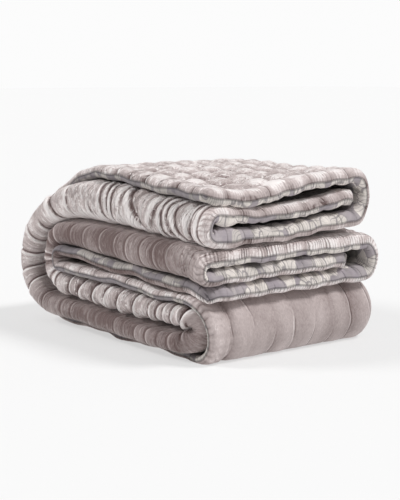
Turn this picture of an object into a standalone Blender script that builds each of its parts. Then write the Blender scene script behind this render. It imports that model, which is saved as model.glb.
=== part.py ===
"""Velvet quilt, folded away: a plump quilt with a velvet front and a printed back.

The quilt is folded in three across its width, like a letter, which makes a long strip of three
layers. The strip is folded in half and in half again, so that four levels lie on each other and both
ends of the strip come out at +X. The near side, -Y, shows the inner layers' rounded fold and the outer
layer's sewn edge above or below it. The far side, +Y, shows the outer layer's fold.

Two solids: the velvet front with its half of the filling, and the printed back with the other half.
They meet in the seam that runs round the quilt's edge.
"""

from collections import namedtuple
from math import pi

import bpy
import numpy as np

# ---- Sizes, in metres -------------------------------------------------------------------------

SEAM_GAP = 0.0004  # between the two solids, all along the seam
RIM = 0.0018  # thickness of each solid at the sewn edge
EDGE_ROUND = 0.013  # the filling rounds off over this far from the sewn edge
EDGE_STEPS = (0.0, 0.0035, 0.0115)  # where the mesh is cut along that rounding
BORDER = 0.045  # the first row of stitches lies this far in from the sewn edge
BORDER_SINK = 0.38  # the share of the filling's fullness that it takes away
CHANNEL_SINK = 0.30  # the share that the stitches between two channels take away
FLOOR_PRESS = 0.0065  # how far the lowest face is pressed flat by the weight on it

# The middle line of the strip, from the top end to the end tucked below it. Each row is a run or a
# bend, ends at (x, z), bulges by reach in x where it is a bend, and holds a number of channels.
Leg = namedtuple("Leg", "name x z reach channels")
START = (0.300, 0.2560)
LEGS = (
    Leg("top_run", -0.040, 0.2720, 0.0, 6),
    Leg("outer_bend", -0.190, 0.0270, -0.173, 6),
    Leg("bottom_run", 0.222, 0.0215, 0.0, 7),
    Leg("end_fold", 0.220, 0.0865, 0.032, 4),
    Leg("third_run", -0.146, 0.0960, 0.0, 6),
    Leg("inner_bend", -0.146, 0.1740, -0.039, 4),
    Leg("second_run", 0.235, 0.1635, 0.0, 6),
    Leg("tucked_end", 0.300, 0.1530, 0.0, 1),
)

# The strip's cross-section, a row for each place along it. at counts legs from the top end. strip is
# the thickness of all three layers and layer that of one. hem, near, far and tuck are in y: the outer
# layer's sewn edge, the outside of the near fold, the outside of the far fold, and the inner layer's
# sewn edge. rest is where the inner layer lies between the other two, and lift where its near fold
# does. flap raises the outer layer's edge.
Section = namedtuple("Section", "at strip layer hem near far tuck rest lift flap")
SECTIONS = (
    Section(0.00, 0.109, 0.0255, -0.200, -0.208, 0.190, 0.143, -0.004, 0.005, 0.002),
    Section(0.30, 0.107, 0.0250, -0.198, -0.212, 0.200, 0.145, -0.006, 0.008, -0.003),
    Section(0.70, 0.104, 0.0245, -0.194, -0.216, 0.204, 0.145, -0.005, 0.010, -0.003),
    Section(1.00, 0.098, 0.0240, -0.184, -0.218, 0.205, 0.145, -0.002, 0.009, 0.000),
    Section(1.25, 0.082, 0.0225, -0.164, -0.218, 0.206, 0.145, 0.000, 0.006, 0.000),
    Section(1.50, 0.082, 0.0220, -0.152, -0.216, 0.206, 0.145, 0.000, 0.005, 0.000),
    Section(2.00, 0.062, 0.0175, -0.172, -0.212, 0.206, 0.145, 0.000, 0.002, 0.000),
    Section(2.50, 0.056, 0.0160, -0.180, -0.216, 0.205, 0.145, 0.000, 0.001, 0.000),
    Section(3.00, 0.056, 0.0160, -0.184, -0.212, 0.206, 0.145, 0.000, 0.001, 0.000),
    Section(3.20, 0.083, 0.0195, -0.188, -0.200, 0.211, 0.145, 0.000, 0.004, 0.000),
    Section(3.35, 0.095, 0.0215, -0.190, -0.190, 0.213, 0.145, 0.000, 0.007, 0.000),
    Section(3.50, 0.098, 0.0220, -0.192, -0.184, 0.214, 0.145, 0.000, 0.008, 0.000),
    Section(3.65, 0.093, 0.0215, -0.195, -0.188, 0.213, 0.145, 0.000, 0.007, 0.000),
    Section(3.80, 0.080, 0.0195, -0.199, -0.198, 0.211, 0.145, 0.000, 0.004, 0.000),
    Section(4.00, 0.064, 0.0180, -0.202, -0.204, 0.210, 0.145, 0.000, 0.001, 0.000),
    Section(4.50, 0.075, 0.0210, -0.210, -0.210, 0.210, 0.145, 0.000, 0.002, 0.000),
    Section(5.00, 0.068, 0.0195, -0.218, -0.212, 0.212, 0.145, 0.000, 0.001, 0.000),
    Section(5.50, 0.074, 0.0210, -0.222, -0.213, 0.214, 0.145, 0.000, 0.000, 0.000),
    Section(6.00, 0.068, 0.0195, -0.216, -0.214, 0.216, 0.145, 0.000, 0.001, 0.000),
    Section(6.50, 0.081, 0.0225, -0.211, -0.218, 0.218, 0.145, 0.000, 0.003, 0.000),
    Section(7.00, 0.087, 0.0240, -0.206, -0.220, 0.217, 0.144, 0.000, 0.003, 0.001),
    Section(8.00, 0.088, 0.0240, -0.203, -0.221, 0.214, 0.143, 0.000, 0.002, 0.003),
)
SLACK = 0.0030  # the layers of the strip lie at least this far from its faces and each other
LIFT_REACH = 0.110  # the inner layer comes down from its lift over this far
FLAP_REACH = 0.070  # and the outer layer's edge over this far

# How many pieces each stretch of the cross-section is cut into, and how many rows of the faces one
# row of the flat seam plane between them stands for on a run.
OUTER_CUTS, FAR_CUTS, MIDDLE_CUTS, NEAR_CUTS, INNER_CUTS = 3, 6, 3, 6, 3
SEAM_STRIDE = 3

# A gentle slump of the whole pile: its height changes by these shares.
CROWN = 0.014
NEAR_CORNER_SAG = 0.004
END_TILT = 0.014  # at the top end, the strip's far side lies this much higher than its near side
END_DISH = 0.015  # and its outer layer dips this much in its middle
END_LIFT = 0.005  # and its inner layer rises this much towards its sewn edge
END_REACH = 0.65  # legs over which these three fade from the top end

VELVET = ((0.42, 0.33, 0.32, 1.0), 0.70, 0.0)  # colour, roughness, metallic
PRINT = ((0.50, 0.49, 0.50, 1.0), 0.85, 0.0)


# ---- The strip's cross-section and its way through the pile --------------------------------------


def eased(share):
    """0 to 1, leaving and arriving level."""
    share = np.clip(share, 0.0, 1.0)
    return share * share * (3.0 - 2.0 * share)


def section_at(at):
    """The table's row at a place between its rows, on a smooth curve through them."""
    places = np.array([row.at for row in SECTIONS])
    values = np.array([row[1:] for row in SECTIONS])
    slopes = np.gradient(values, places, axis=0)
    i = int(np.clip(np.searchsorted(places, at, side="right") - 1, 0, len(places) - 2))
    span = places[i + 1] - places[i]
    t = (at - places[i]) / span
    a, b = values[i], values[i + 1]
    blend = a + (b - a) * t * t * (3 - 2 * t)
    blend = blend + slopes[i] * span * t * (1 - t) ** 2 - slopes[i + 1] * span * t * t * (1 - t)
    return Section(at, *blend)


def along_strip():
    """Places along the strip, in legs, and whether a row of stitches crosses there."""
    cuts = []
    for number, leg in enumerate(LEGS):
        halves = 2 * leg.channels
        cuts += [(number + k / halves, k % 2 == 0) for k in range(halves)]
    cuts.append((float(len(LEGS)), True))
    first_length = START[0] - LEGS[0].x
    last_length = LEGS[-1].x - LEGS[-2].x
    head = [(step / first_length, False) for step in EDGE_STEPS]
    tail = [(len(LEGS) - step / last_length, False) for step in reversed(EDGE_STEPS)]
    return head + cuts[1:-1] + tail


def leg_line(number, share):
    """The middle line's (x, z) at a share of one leg."""
    leg = LEGS[number]
    x0, z0 = START if number == 0 else (LEGS[number - 1].x, LEGS[number - 1].z)
    if leg.reach == 0.0:
        return x0 + (leg.x - x0) * share, z0 + (leg.z - z0) * eased(share)
    turn = pi * share
    middle = (z0 + leg.z) / 2 + (z0 - leg.z) / 2 * np.cos(turn)
    return x0 + (leg.x - x0) * share + leg.reach * np.sin(turn), middle


def strip_line(at):
    """The middle line's point and its outward normal, both (x, z), at a place in legs."""
    number = min(int(at), len(LEGS) - 1)
    share = at - number
    step = 1e-4
    point = np.array(leg_line(number, share))
    before = np.array(leg_line(number, max(share - step, 0.0)))
    after = np.array(leg_line(number, min(share + step, 1.0)))
    tangent = (after - before) / np.linalg.norm(after - before)
    return point, np.array([tangent[1], -tangent[0]])


def bend_room(at):
    """How far the strip may reach below and above its middle line before it meets itself in a bend."""
    number = min(int(at), len(LEGS) - 1)
    leg = LEGS[number]
    if leg.reach == 0.0 or at == number:
        return np.inf, np.inf
    rise = leg.z - LEGS[number - 1].z
    room = abs(rise) / 2
    return (room, np.inf) if rise * leg.reach > 0 else (np.inf, room)


def evenly(start, end, cuts):
    return [start + (end - start) * k / cuts for k in range(cuts)]


def half_turn(y, h, radius, facing, cuts):
    """Points of a half circle from (y, h + radius * facing) round to the other side, in y and h."""
    angles = [pi * k / cuts for k in range(cuts)]
    return [(y + facing * radius * np.sin(a), h + facing * radius * np.cos(a)) for a in angles]


def cross_section(row, room):
    """The middle of the layer round the letter fold, as (y, h), h outward from the strip's middle
    line, and how far each point lies from the sewn edge at its end of the fold."""
    low, top = [min(row.strip / 2, side) - row.layer / 2 - SLACK / 2 for side in room]
    far_radius = (top + low) / 2
    near_radius = (low + row.lift) / 2
    far_y = row.far - row.layer / 2 - far_radius
    near_y = row.near + row.layer / 2 + near_radius

    edge = [row.hem + step for step in EDGE_STEPS]
    edge += [row.hem + BORDER * 0.6, row.hem + BORDER]
    points = [(y, top) for y in edge + evenly(row.hem + BORDER * 1.45, far_y, OUTER_CUTS)]
    on_outer = len(points)
    points += half_turn(far_y, top - far_radius, far_radius, 1, FAR_CUTS)
    points += [(y, -low) for y in evenly(far_y, near_y, MIDDLE_CUTS)]
    points += half_turn(near_y, row.lift - near_radius, near_radius, -1, NEAR_CUTS)
    inner = evenly(near_y, row.tuck - EDGE_STEPS[-1] * 2, INNER_CUTS)
    inner += [row.tuck - step for step in reversed(EDGE_STEPS)]
    for y in inner:
        lifted = 1 - eased((y - near_y) / LIFT_REACH)
        points.append((y, row.rest + (row.lift - row.rest) * lifted))
    points = np.array(points)
    flapped = points[:on_outer]
    flapped[:, 1] += row.flap * (1 - eased((flapped[:, 0] - row.hem) / FLAP_REACH))
    fade = 1 - eased(row.at / END_REACH)
    dip = np.exp(-(((flapped[:, 0] + 0.105) / 0.070) ** 2))
    flapped[:, 1] -= END_DISH * fade * dip
    innermost = points[-len(inner) :]
    innermost[:, 1] += END_LIFT * fade * eased((innermost[:, 0] - 0.02) / 0.13)
    points[:, 1] += END_TILT * fade * eased((points[:, 0] + 0.06) / 0.24)
    steps = np.linalg.norm(np.diff(points, axis=0), axis=1)
    from_start = np.concatenate([[0.0], np.cumsum(steps)])
    return points, np.minimum(from_start, from_start[-1] - from_start)


def section_normals(points):
    """Unit normals of the cross-section, on the velvet's side."""
    tangents = np.gradient(points, axis=0)
    tangents /= np.linalg.norm(tangents, axis=1)[:, None]
    return np.stack([-tangents[:, 1], tangents[:, 0]], axis=1)


def rounded(distance):
    """How full the filling is at a distance from the sewn edge, from 0 at the edge to 1."""
    return np.sqrt(1.0 - (1.0 - np.clip(distance / EDGE_ROUND, 0.0, 1.0)) ** 2)


def slumped(points):
    """The pile settled under its weight: a crown in the middle and a sag at the near corner."""
    x, y, z = points[..., 0], points[..., 1], points[..., 2]
    crown = CROWN * np.cos(np.clip(x / 0.32, -1, 1) * pi / 2) * np.cos(np.clip(y / 0.24, -1, 1) * pi / 2)
    sag = NEAR_CORNER_SAG * eased((x - 0.05) / 0.25) * eased((0.02 - y) / 0.22)
    settled = points.copy()
    settled[..., 2] = z * (1 + crown - sag)
    return settled


def layer_faces():
    """Grids of points [along][across] for the velvet's face, the seam plane on either side of the
    gap, and the print's face."""
    stations = along_strip()
    lengths = [0.0]
    for (a, _), (b, _) in zip(stations, stations[1:]):
        lengths.append(lengths[-1] + np.linalg.norm(strip_line(b)[0] - strip_line(a)[0]))
    lengths = np.array(lengths)
    from_end = np.minimum(lengths, lengths[-1] - lengths)

    grids = {"velvet": [], "velvet_seam": [], "print_seam": [], "print": []}
    for (at, stitched), end_distance in zip(stations, from_end):
        row = section_at(at)
        middle, from_hem = cross_section(row, bend_room(at))
        normal = section_normals(middle)
        line, outward = strip_line(at)
        full = rounded(end_distance) * rounded(from_hem)
        full *= 1 - CHANNEL_SINK * stitched
        full *= 1 - BORDER_SINK * (np.abs(from_hem - BORDER) < 1e-6)
        half = RIM + (row.layer / 2 - RIM) * full
        for name, offset in (
            ("velvet", half),
            ("velvet_seam", SEAM_GAP / 2),
            ("print_seam", -SEAM_GAP / 2),
            ("print", -half),
        ):
            at_offset = middle + normal * np.reshape(offset, (-1, 1))
            y, h = at_offset[:, 0], at_offset[:, 1]
            grids[name].append(
                np.stack([line[0] + outward[0] * h, y, line[1] + outward[1] * h], axis=1)
            )
    grids = {name: slumped(np.array(grid)) for name, grid in grids.items()}
    floor = grids["velvet"][..., 2].min() + FLOOR_PRESS
    for grid in grids.values():
        grid[..., 2] = np.maximum(grid[..., 2] - floor, 0.0)
    low = np.min([grid.min(axis=(0, 1)) for grid in grids.values()], axis=0)
    high = np.max([grid.max(axis=(0, 1)) for grid in grids.values()], axis=0)
    for grid in grids.values():
        grid[..., :2] -= (low[:2] + high[:2]) / 2
    return grids


# ---- Solids ------------------------------------------------------------------------------------


def seam_rows():
    """Which rows of the faces the seam plane keeps: every one in a bend, fewer on a run."""
    places = [at for at, _ in along_strip()]
    last = len(places) - 1
    kept = [0]
    for i in range(1, last + 1):
        bends = LEGS[min(int(places[i]), len(LEGS) - 1)].reach or LEGS[int(places[i - 1])].reach
        if bends or i - kept[-1] == SEAM_STRIDE or i == last:
            kept.append(i)
    return kept


def shell_mesh(name, face, seam, kept):
    """A closed mesh between a face and its seam plane, which has only the kept rows of the face."""
    rows, columns = face.shape[:2]
    points = np.concatenate([face.reshape(-1, 3), seam[kept].reshape(-1, 3)])
    seam_row = {i: number for number, i in enumerate(kept)}

    def on_face(i, j):
        return i * columns + j

    def on_seam(i, j):
        return (rows + seam_row[i]) * columns + j

    polygons = []
    for i in range(rows - 1):
        for j in range(columns - 1):
            polygons.append((on_face(i, j), on_face(i, j + 1), on_face(i + 1, j + 1), on_face(i + 1, j)))
    for i, k in zip(kept, kept[1:]):
        for j in range(columns - 1):
            polygons.append((on_seam(i, j), on_seam(k, j), on_seam(k, j + 1), on_seam(i, j + 1)))
        middle = (i + k + 1) // 2
        for j, turned in ((0, False), (columns - 1, True)):
            side = [(on_seam(i, j), on_face(n, j), on_face(n + 1, j)) for n in range(i, middle)]
            side.append((on_seam(i, j), on_face(middle, j), on_seam(k, j)))
            side += [(on_seam(k, j), on_face(n, j), on_face(n + 1, j)) for n in range(middle, k)]
            polygons += [triangle[::-1] if turned else triangle for triangle in side]
    for i, turned in ((0, True), (rows - 1, False)):
        for j in range(columns - 1):
            side = (on_seam(i, j), on_face(i, j), on_face(i, j + 1), on_seam(i, j + 1))
            polygons.append(side[::-1] if turned else side)

    mesh = bpy.data.meshes.new(name)
    mesh.from_pydata(points.tolist(), [], polygons)
    mesh.update()
    return mesh


def material(name, colour, roughness, metallic):
    made = bpy.data.materials.new(name)
    made.use_nodes = True
    shader = made.node_tree.nodes["Principled BSDF"]
    shader.inputs["Base Color"].default_value = colour
    shader.inputs["Roughness"].default_value = roughness
    shader.inputs["Metallic"].default_value = metallic
    return made


def add_solid(name, mesh, finish):
    mesh.materials.append(finish)
    mesh.shade_smooth()
    made = bpy.data.objects.new(name, mesh)
    bpy.context.scene.collection.objects.link(made)
    return made


def turned_out(mesh):
    """The same mesh with its faces the other way round."""
    mesh.flip_normals()
    return mesh


def main():
    for old in list(bpy.data.objects):
        bpy.data.objects.remove(old)
    grids = layer_faces()
    kept = seam_rows()
    front = shell_mesh("velvet_front", grids["velvet"], grids["velvet_seam"], kept)
    back = turned_out(shell_mesh("printed_back", grids["print"], grids["print_seam"], kept))
    add_solid("velvet_front", front, material("velvet", *VELVET))
    add_solid("printed_back", back, material("printed_cotton", *PRINT))


main()
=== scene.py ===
"""Dresses the folded velvet quilt: crushed velvet on its front and a leaf print on its back.

Both faces follow the same folds as the plain solids, at a finer cut, with the quilting, the creases
round the folds and the puckers at the stitches raised in the mesh. Sizes are in metres.
"""

from collections import namedtuple
from math import cos, pi, radians, sin

import bpy
import numpy as np
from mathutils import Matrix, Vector


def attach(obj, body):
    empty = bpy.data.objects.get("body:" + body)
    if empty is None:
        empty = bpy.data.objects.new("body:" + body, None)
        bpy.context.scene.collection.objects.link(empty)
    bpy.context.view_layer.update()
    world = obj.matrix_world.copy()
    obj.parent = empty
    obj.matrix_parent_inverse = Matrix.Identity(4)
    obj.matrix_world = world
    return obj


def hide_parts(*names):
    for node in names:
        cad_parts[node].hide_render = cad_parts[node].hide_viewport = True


bl_info = {
    "name": "Folded Velvet Quilt",
    "version": (1, 0, 0),
    "blender": (4, 5, 0),
    "location": "3D View > Sidebar > Quilt",
    "description": "Makes a folded quilt with a velvet front and a printed back",
    "category": "Add Mesh",
}

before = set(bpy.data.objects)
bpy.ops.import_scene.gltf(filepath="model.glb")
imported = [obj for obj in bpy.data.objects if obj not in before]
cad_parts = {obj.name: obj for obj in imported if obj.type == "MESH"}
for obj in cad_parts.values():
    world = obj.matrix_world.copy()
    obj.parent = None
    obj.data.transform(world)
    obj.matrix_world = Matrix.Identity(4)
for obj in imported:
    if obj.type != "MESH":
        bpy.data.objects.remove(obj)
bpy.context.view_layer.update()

# ---- The folds --------------------------------------------------------------------------------

SEAM_GAP = 0.0004  # between the two halves, all along the seam
RIM = 0.0012  # thickness of each half at the sewn edge
EDGE_ROUND = 0.013  # the filling rounds off over this far from the sewn edge
BORDER = 0.045  # the first row of stitches lies this far in from the sewn edge
FLOOR_PRESS = 0.0065  # how far the lowest face is pressed flat by the weight on it
SLACK = 0.0030  # the layers of the strip lie at least this far from its faces and each other
LIFT_REACH = 0.110  # the inner layer comes down from its lift over this far
FLAP_REACH = 0.070  # and the outer layer's edge over this far
CROWN = 0.014  # share by which the pile is higher in its middle
CROWN_REACH = (0.32, 0.24)  # how far from its middle that ends, in x and y
NEAR_CORNER_SAG = 0.004  # share by which it is lower at its near corner
SAG_START = (0.05, 0.02)  # from here on, in x and y
SAG_REACH = (0.25, 0.22)  # over these distances towards the corner
END_TILT = 0.014  # at the top end, the strip's far side lies this much higher than its near side
TILT_START = -0.06  # from this y on
TILT_REACH = 0.24  # and over this far
END_DISH = 0.015  # and its outer layer dips this much in its middle
DISH_MIDDLE = -0.105  # about this y
DISH_WIDTH = 0.070
END_LIFT = 0.005  # and its inner layer rises this much towards its sewn edge
END_LIFT_START = 0.02  # from this y on
END_LIFT_REACH = 0.13  # and over this far
END_REACH = 0.65  # legs over which these three fade from the top end
EDGE_DROOP = 0.0036  # how far the sewn ends hang below the middle of their layer
DROOP_REACH = 0.018  # over this far from the edge
TUCK_REACH = 0.014  # how much further in the inner layer's edge lies at the top end
BUNCHING = 0.0085  # how much further the filling stands out inside the near fold at the top end
CORNER_ROUND = 0.009  # how far the quilt's corners are drawn in
CORNER_REACH = 0.022  # over this far from both edges
HEM_LOOSE = 0.034  # the long sewn edge waves over this far
END_LOOSE = 0.040  # and the sewn ends over this far
# The lengths of those waves, and their size: up and down, and in and out.
HEM_RISE = ((0.24, 0.15, 0.085), 0.0038)
HEM_DRIFT = ((0.16, 0.09), 0.0028)
END_RISE = ((0.13, 0.07), 0.0020)
END_DRIFT = ((0.17, 0.10, 0.047), 0.0034)
NEAR_FULLNESS = 0.80  # under 1, the near fold is squarer than a half circle
FAR_FULLNESS = 0.78  # and so is the far fold

# The middle line of the strip of three layers. Each row is a run or a bend: it ends at (x, z), bulges
# by reach in x where it is a bend, and density says how finely the mesh is cut along it.
Leg = namedtuple("Leg", "name x z reach density")
START = (0.300, 0.2560)
LEGS = (
    Leg("top_run", -0.040, 0.2720, 0.0, 1.0),
    Leg("outer_bend", -0.190, 0.0270, -0.173, 1.0),
    Leg("bottom_run", 0.222, 0.0215, 0.0, 0.9),
    Leg("end_fold", 0.220, 0.0865, 0.032, 2.0),
    Leg("third_run", -0.146, 0.0960, 0.0, 1.1),
    Leg("inner_bend", -0.146, 0.1740, -0.039, 1.6),
    Leg("second_run", 0.235, 0.1635, 0.0, 1.0),
    Leg("tucked_end", 0.300, 0.1530, 0.0, 1.2),
)

# The strip's cross-section. at counts legs from the top end. strip is the thickness of all three
# layers and layer that of one. hem, near, far and tuck are in y: the outer layer's sewn edge, the
# outside of the near fold, the outside of the far fold, and the inner layer's sewn edge. rest is
# where the inner layer lies between the other two, lift where its near fold does, and flap raises
# the outer layer's edge.
Section = namedtuple("Section", "at strip layer hem near far tuck rest lift flap")
SECTIONS = (
    Section(0.00, 0.109, 0.0255, -0.200, -0.208, 0.190, 0.143, -0.004, 0.005, 0.002),
    Section(0.30, 0.107, 0.0250, -0.198, -0.212, 0.200, 0.145, -0.006, 0.008, -0.003),
    Section(0.70, 0.104, 0.0245, -0.194, -0.216, 0.204, 0.145, -0.005, 0.010, -0.003),
    Section(1.00, 0.098, 0.0240, -0.184, -0.218, 0.205, 0.145, -0.002, 0.009, 0.000),
    Section(1.25, 0.082, 0.0225, -0.164, -0.218, 0.206, 0.145, 0.000, 0.006, 0.000),
    Section(1.50, 0.082, 0.0220, -0.152, -0.216, 0.206, 0.145, 0.000, 0.005, 0.000),
    Section(2.00, 0.062, 0.0175, -0.172, -0.212, 0.206, 0.145, 0.000, 0.002, 0.000),
    Section(2.50, 0.056, 0.0160, -0.180, -0.216, 0.205, 0.145, 0.000, 0.001, 0.000),
    Section(3.00, 0.056, 0.0160, -0.184, -0.212, 0.206, 0.145, 0.000, 0.001, 0.000),
    Section(3.20, 0.083, 0.0195, -0.188, -0.200, 0.211, 0.145, 0.000, 0.004, 0.000),
    Section(3.35, 0.095, 0.0215, -0.190, -0.190, 0.213, 0.145, 0.000, 0.007, 0.000),
    Section(3.50, 0.098, 0.0220, -0.192, -0.184, 0.214, 0.145, 0.000, 0.008, 0.000),
    Section(3.65, 0.093, 0.0215, -0.195, -0.188, 0.213, 0.145, 0.000, 0.007, 0.000),
    Section(3.80, 0.080, 0.0195, -0.199, -0.198, 0.211, 0.145, 0.000, 0.004, 0.000),
    Section(4.00, 0.064, 0.0180, -0.202, -0.204, 0.210, 0.145, 0.000, 0.001, 0.000),
    Section(4.50, 0.075, 0.0210, -0.210, -0.210, 0.210, 0.145, 0.000, 0.002, 0.000),
    Section(5.00, 0.068, 0.0195, -0.218, -0.212, 0.212, 0.145, 0.000, 0.001, 0.000),
    Section(5.50, 0.074, 0.0210, -0.222, -0.213, 0.214, 0.145, 0.000, 0.000, 0.000),
    Section(6.00, 0.068, 0.0195, -0.216, -0.214, 0.216, 0.145, 0.000, 0.001, 0.000),
    Section(6.50, 0.081, 0.0225, -0.211, -0.218, 0.218, 0.145, 0.000, 0.003, 0.000),
    Section(7.00, 0.087, 0.0240, -0.206, -0.220, 0.217, 0.144, 0.000, 0.003, 0.001),
    Section(8.00, 0.088, 0.0240, -0.203, -0.221, 0.214, 0.143, 0.000, 0.002, 0.003),
)

# ---- The mesh's cuts --------------------------------------------------------------------------

ROWS = 960  # along the strip
END_FINE = 0.025  # within this far from the sewn ends
END_DENSITY = 2.4  # the rows lie this many times as close
BLOCK = 8  # the mesh is made of square blocks of this many cuts, each block finer or coarser
COARSEST = 3  # a block keeps one cut in 2 to the power of its level, so one in eight here
Zone = namedtuple("Zone", "name cuts crowd")
# Stretches of the cross-section. A crowd over 0 crowds the cuts towards the stretch's end, and one
# under 0 towards its start.
ZONES = (
    Zone("hem", 24, 0.0),
    Zone("outer", 48, 0.0),
    Zone("far", 16, 0.0),
    Zone("middle", 40, 1.6),
    Zone("near", 24, 0.0),
    Zone("inner", 40, -1.6),
    Zone("tuck", 8, 0.0),
)
COLUMNS = sum(zone.cuts for zone in ZONES)
# The cuts beside the outer layer's sewn edge, and those before the inner layer's.
HEM_STEPS = (0.0, 0.0008, 0.0022, 0.0045, 0.0075, 0.0110, 0.0150, 0.0190)
HEM_END = BORDER * 1.45
TUCK_STEPS = (0.0300, 0.0200, 0.0130, 0.0090, 0.0060, 0.0036, 0.0018, 0.0007, 0.0)

# ---- The quilting and creases -----------------------------------------------------------------

NEAR_BAND = 0.060  # the near fold shows over this far to each side of its outermost line
PILLOW_POWER = 0.6  # how full the channels between two rows are: flatter on top the lower it is
PILLOW_MEAN = 0.72  # and their mean height, about
BORDER_PINCH = 0.45  # share by which the border's stitches draw the filling in
BORDER_WIDTH = 0.006
PUCKER_HEIGHT = 0.0026  # of the ripples at the sewn edges
HEM_PUCKERS = 0.0125  # their pitch at the long edges
END_PUCKERS = 0.0115  # and at the ends
SHELL_HEIGHT = 0.0042  # of the print's broader gathers at the ends
SHELL_PITCH = 0.037
PRINT_PINCH = 0.36  # share by which the print's half is thinner inside the near fold
PINCH_MIDDLE = 0.008  # about this far from the fold's outermost line
PINCH_WIDTH = 0.022
NAP_SLANT = 1.1  # legs by which a change of nap lags for each metre across the near fold
VELVET_RIDGE = 0.0028  # relief that looks like a full ridge in the velvet
PRINT_RIDGE = 0.0025  # and in the print

# How strongly the quilting draws the cloth in along the strip: cross for the rows of stitches that
# cross the strip, long for those that run along it, lobe for how far the near fold bulges between the
# cross rows, and wrap for the fine creases round the near fold.
Quilting = namedtuple("Quilting", "at cross long lobe wrap")
QUILTING = (
    Quilting(0.0, 0.72, 0.70, 0.40, 0.6),
    Quilting(0.9, 0.72, 0.65, 0.35, 0.8),
    Quilting(1.2, 0.35, 0.40, 0.15, 0.5),
    Quilting(2.1, 0.30, 0.40, 0.06, 0.2),
    Quilting(3.0, 0.25, 0.40, 0.06, 0.3),
    Quilting(3.3, 0.05, 0.16, 0.10, 0.8),
    Quilting(3.7, 0.05, 0.16, 0.10, 0.8),
    Quilting(4.1, 0.40, 0.40, 0.55, 0.7),
    Quilting(4.8, 0.45, 0.40, 0.60, 0.6),
    Quilting(5.4, 0.35, 0.40, 0.45, 0.8),
    Quilting(6.1, 0.30, 0.40, 0.06, 0.15),
    Quilting(7.2, 0.40, 0.45, 0.08, 0.2),
    Quilting(8.0, 0.55, 0.50, 0.15, 1.0),
)

# How the pile lies along the strip. lean is painted light and shade: 1 where the pile leans to the
# light and is painted pale, and -1 where it leans away and is painted dark. panel is the painted light
# or shade that the broad faces of the layers add to that, crush is how strongly the pile is crushed,
# and bow is how the fine wrap lines of the near fold bend.
Nap = namedtuple("Nap", "at lean panel crush bow")
NAPS_AND_PAINTED_LIGHT = (
    Nap(0.00, 0.78, -0.38, 1.2, -6.0),
    Nap(1.10, 0.78, -0.38, 1.2, -6.0),
    Nap(1.24, 0.64, 0.0, 0.7, 0.0),
    Nap(1.60, 0.62, 0.0, 0.6, 0.0),
    Nap(2.00, -0.30, 0.0, 0.5, 4.0),
    Nap(2.60, -0.72, 0.0, 0.5, 9.0),
    Nap(3.00, -0.58, 0.0, 0.4, 9.0),
    Nap(3.18, 0.04, 0.0, 0.25, 0.0),
    Nap(3.80, 0.04, 0.0, 0.25, 0.0),
    Nap(4.00, 0.50, 0.6, 0.9, -10.0),
    Nap(5.05, 0.42, 0.6, 0.9, -10.0),
    Nap(5.50, 0.00, 0.0, 0.6, 0.0),
    Nap(5.85, -0.50, 0.0, 0.4, 6.0),
    Nap(6.40, -0.55, 0.0, 0.4, 11.0),
    Nap(7.00, -0.50, 0.1, 0.5, 12.0),
    Nap(7.50, -0.30, 0.8, 1.1, 6.0),
    Nap(8.00, 0.05, 0.5, 1.2, 0.0),
)

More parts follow.
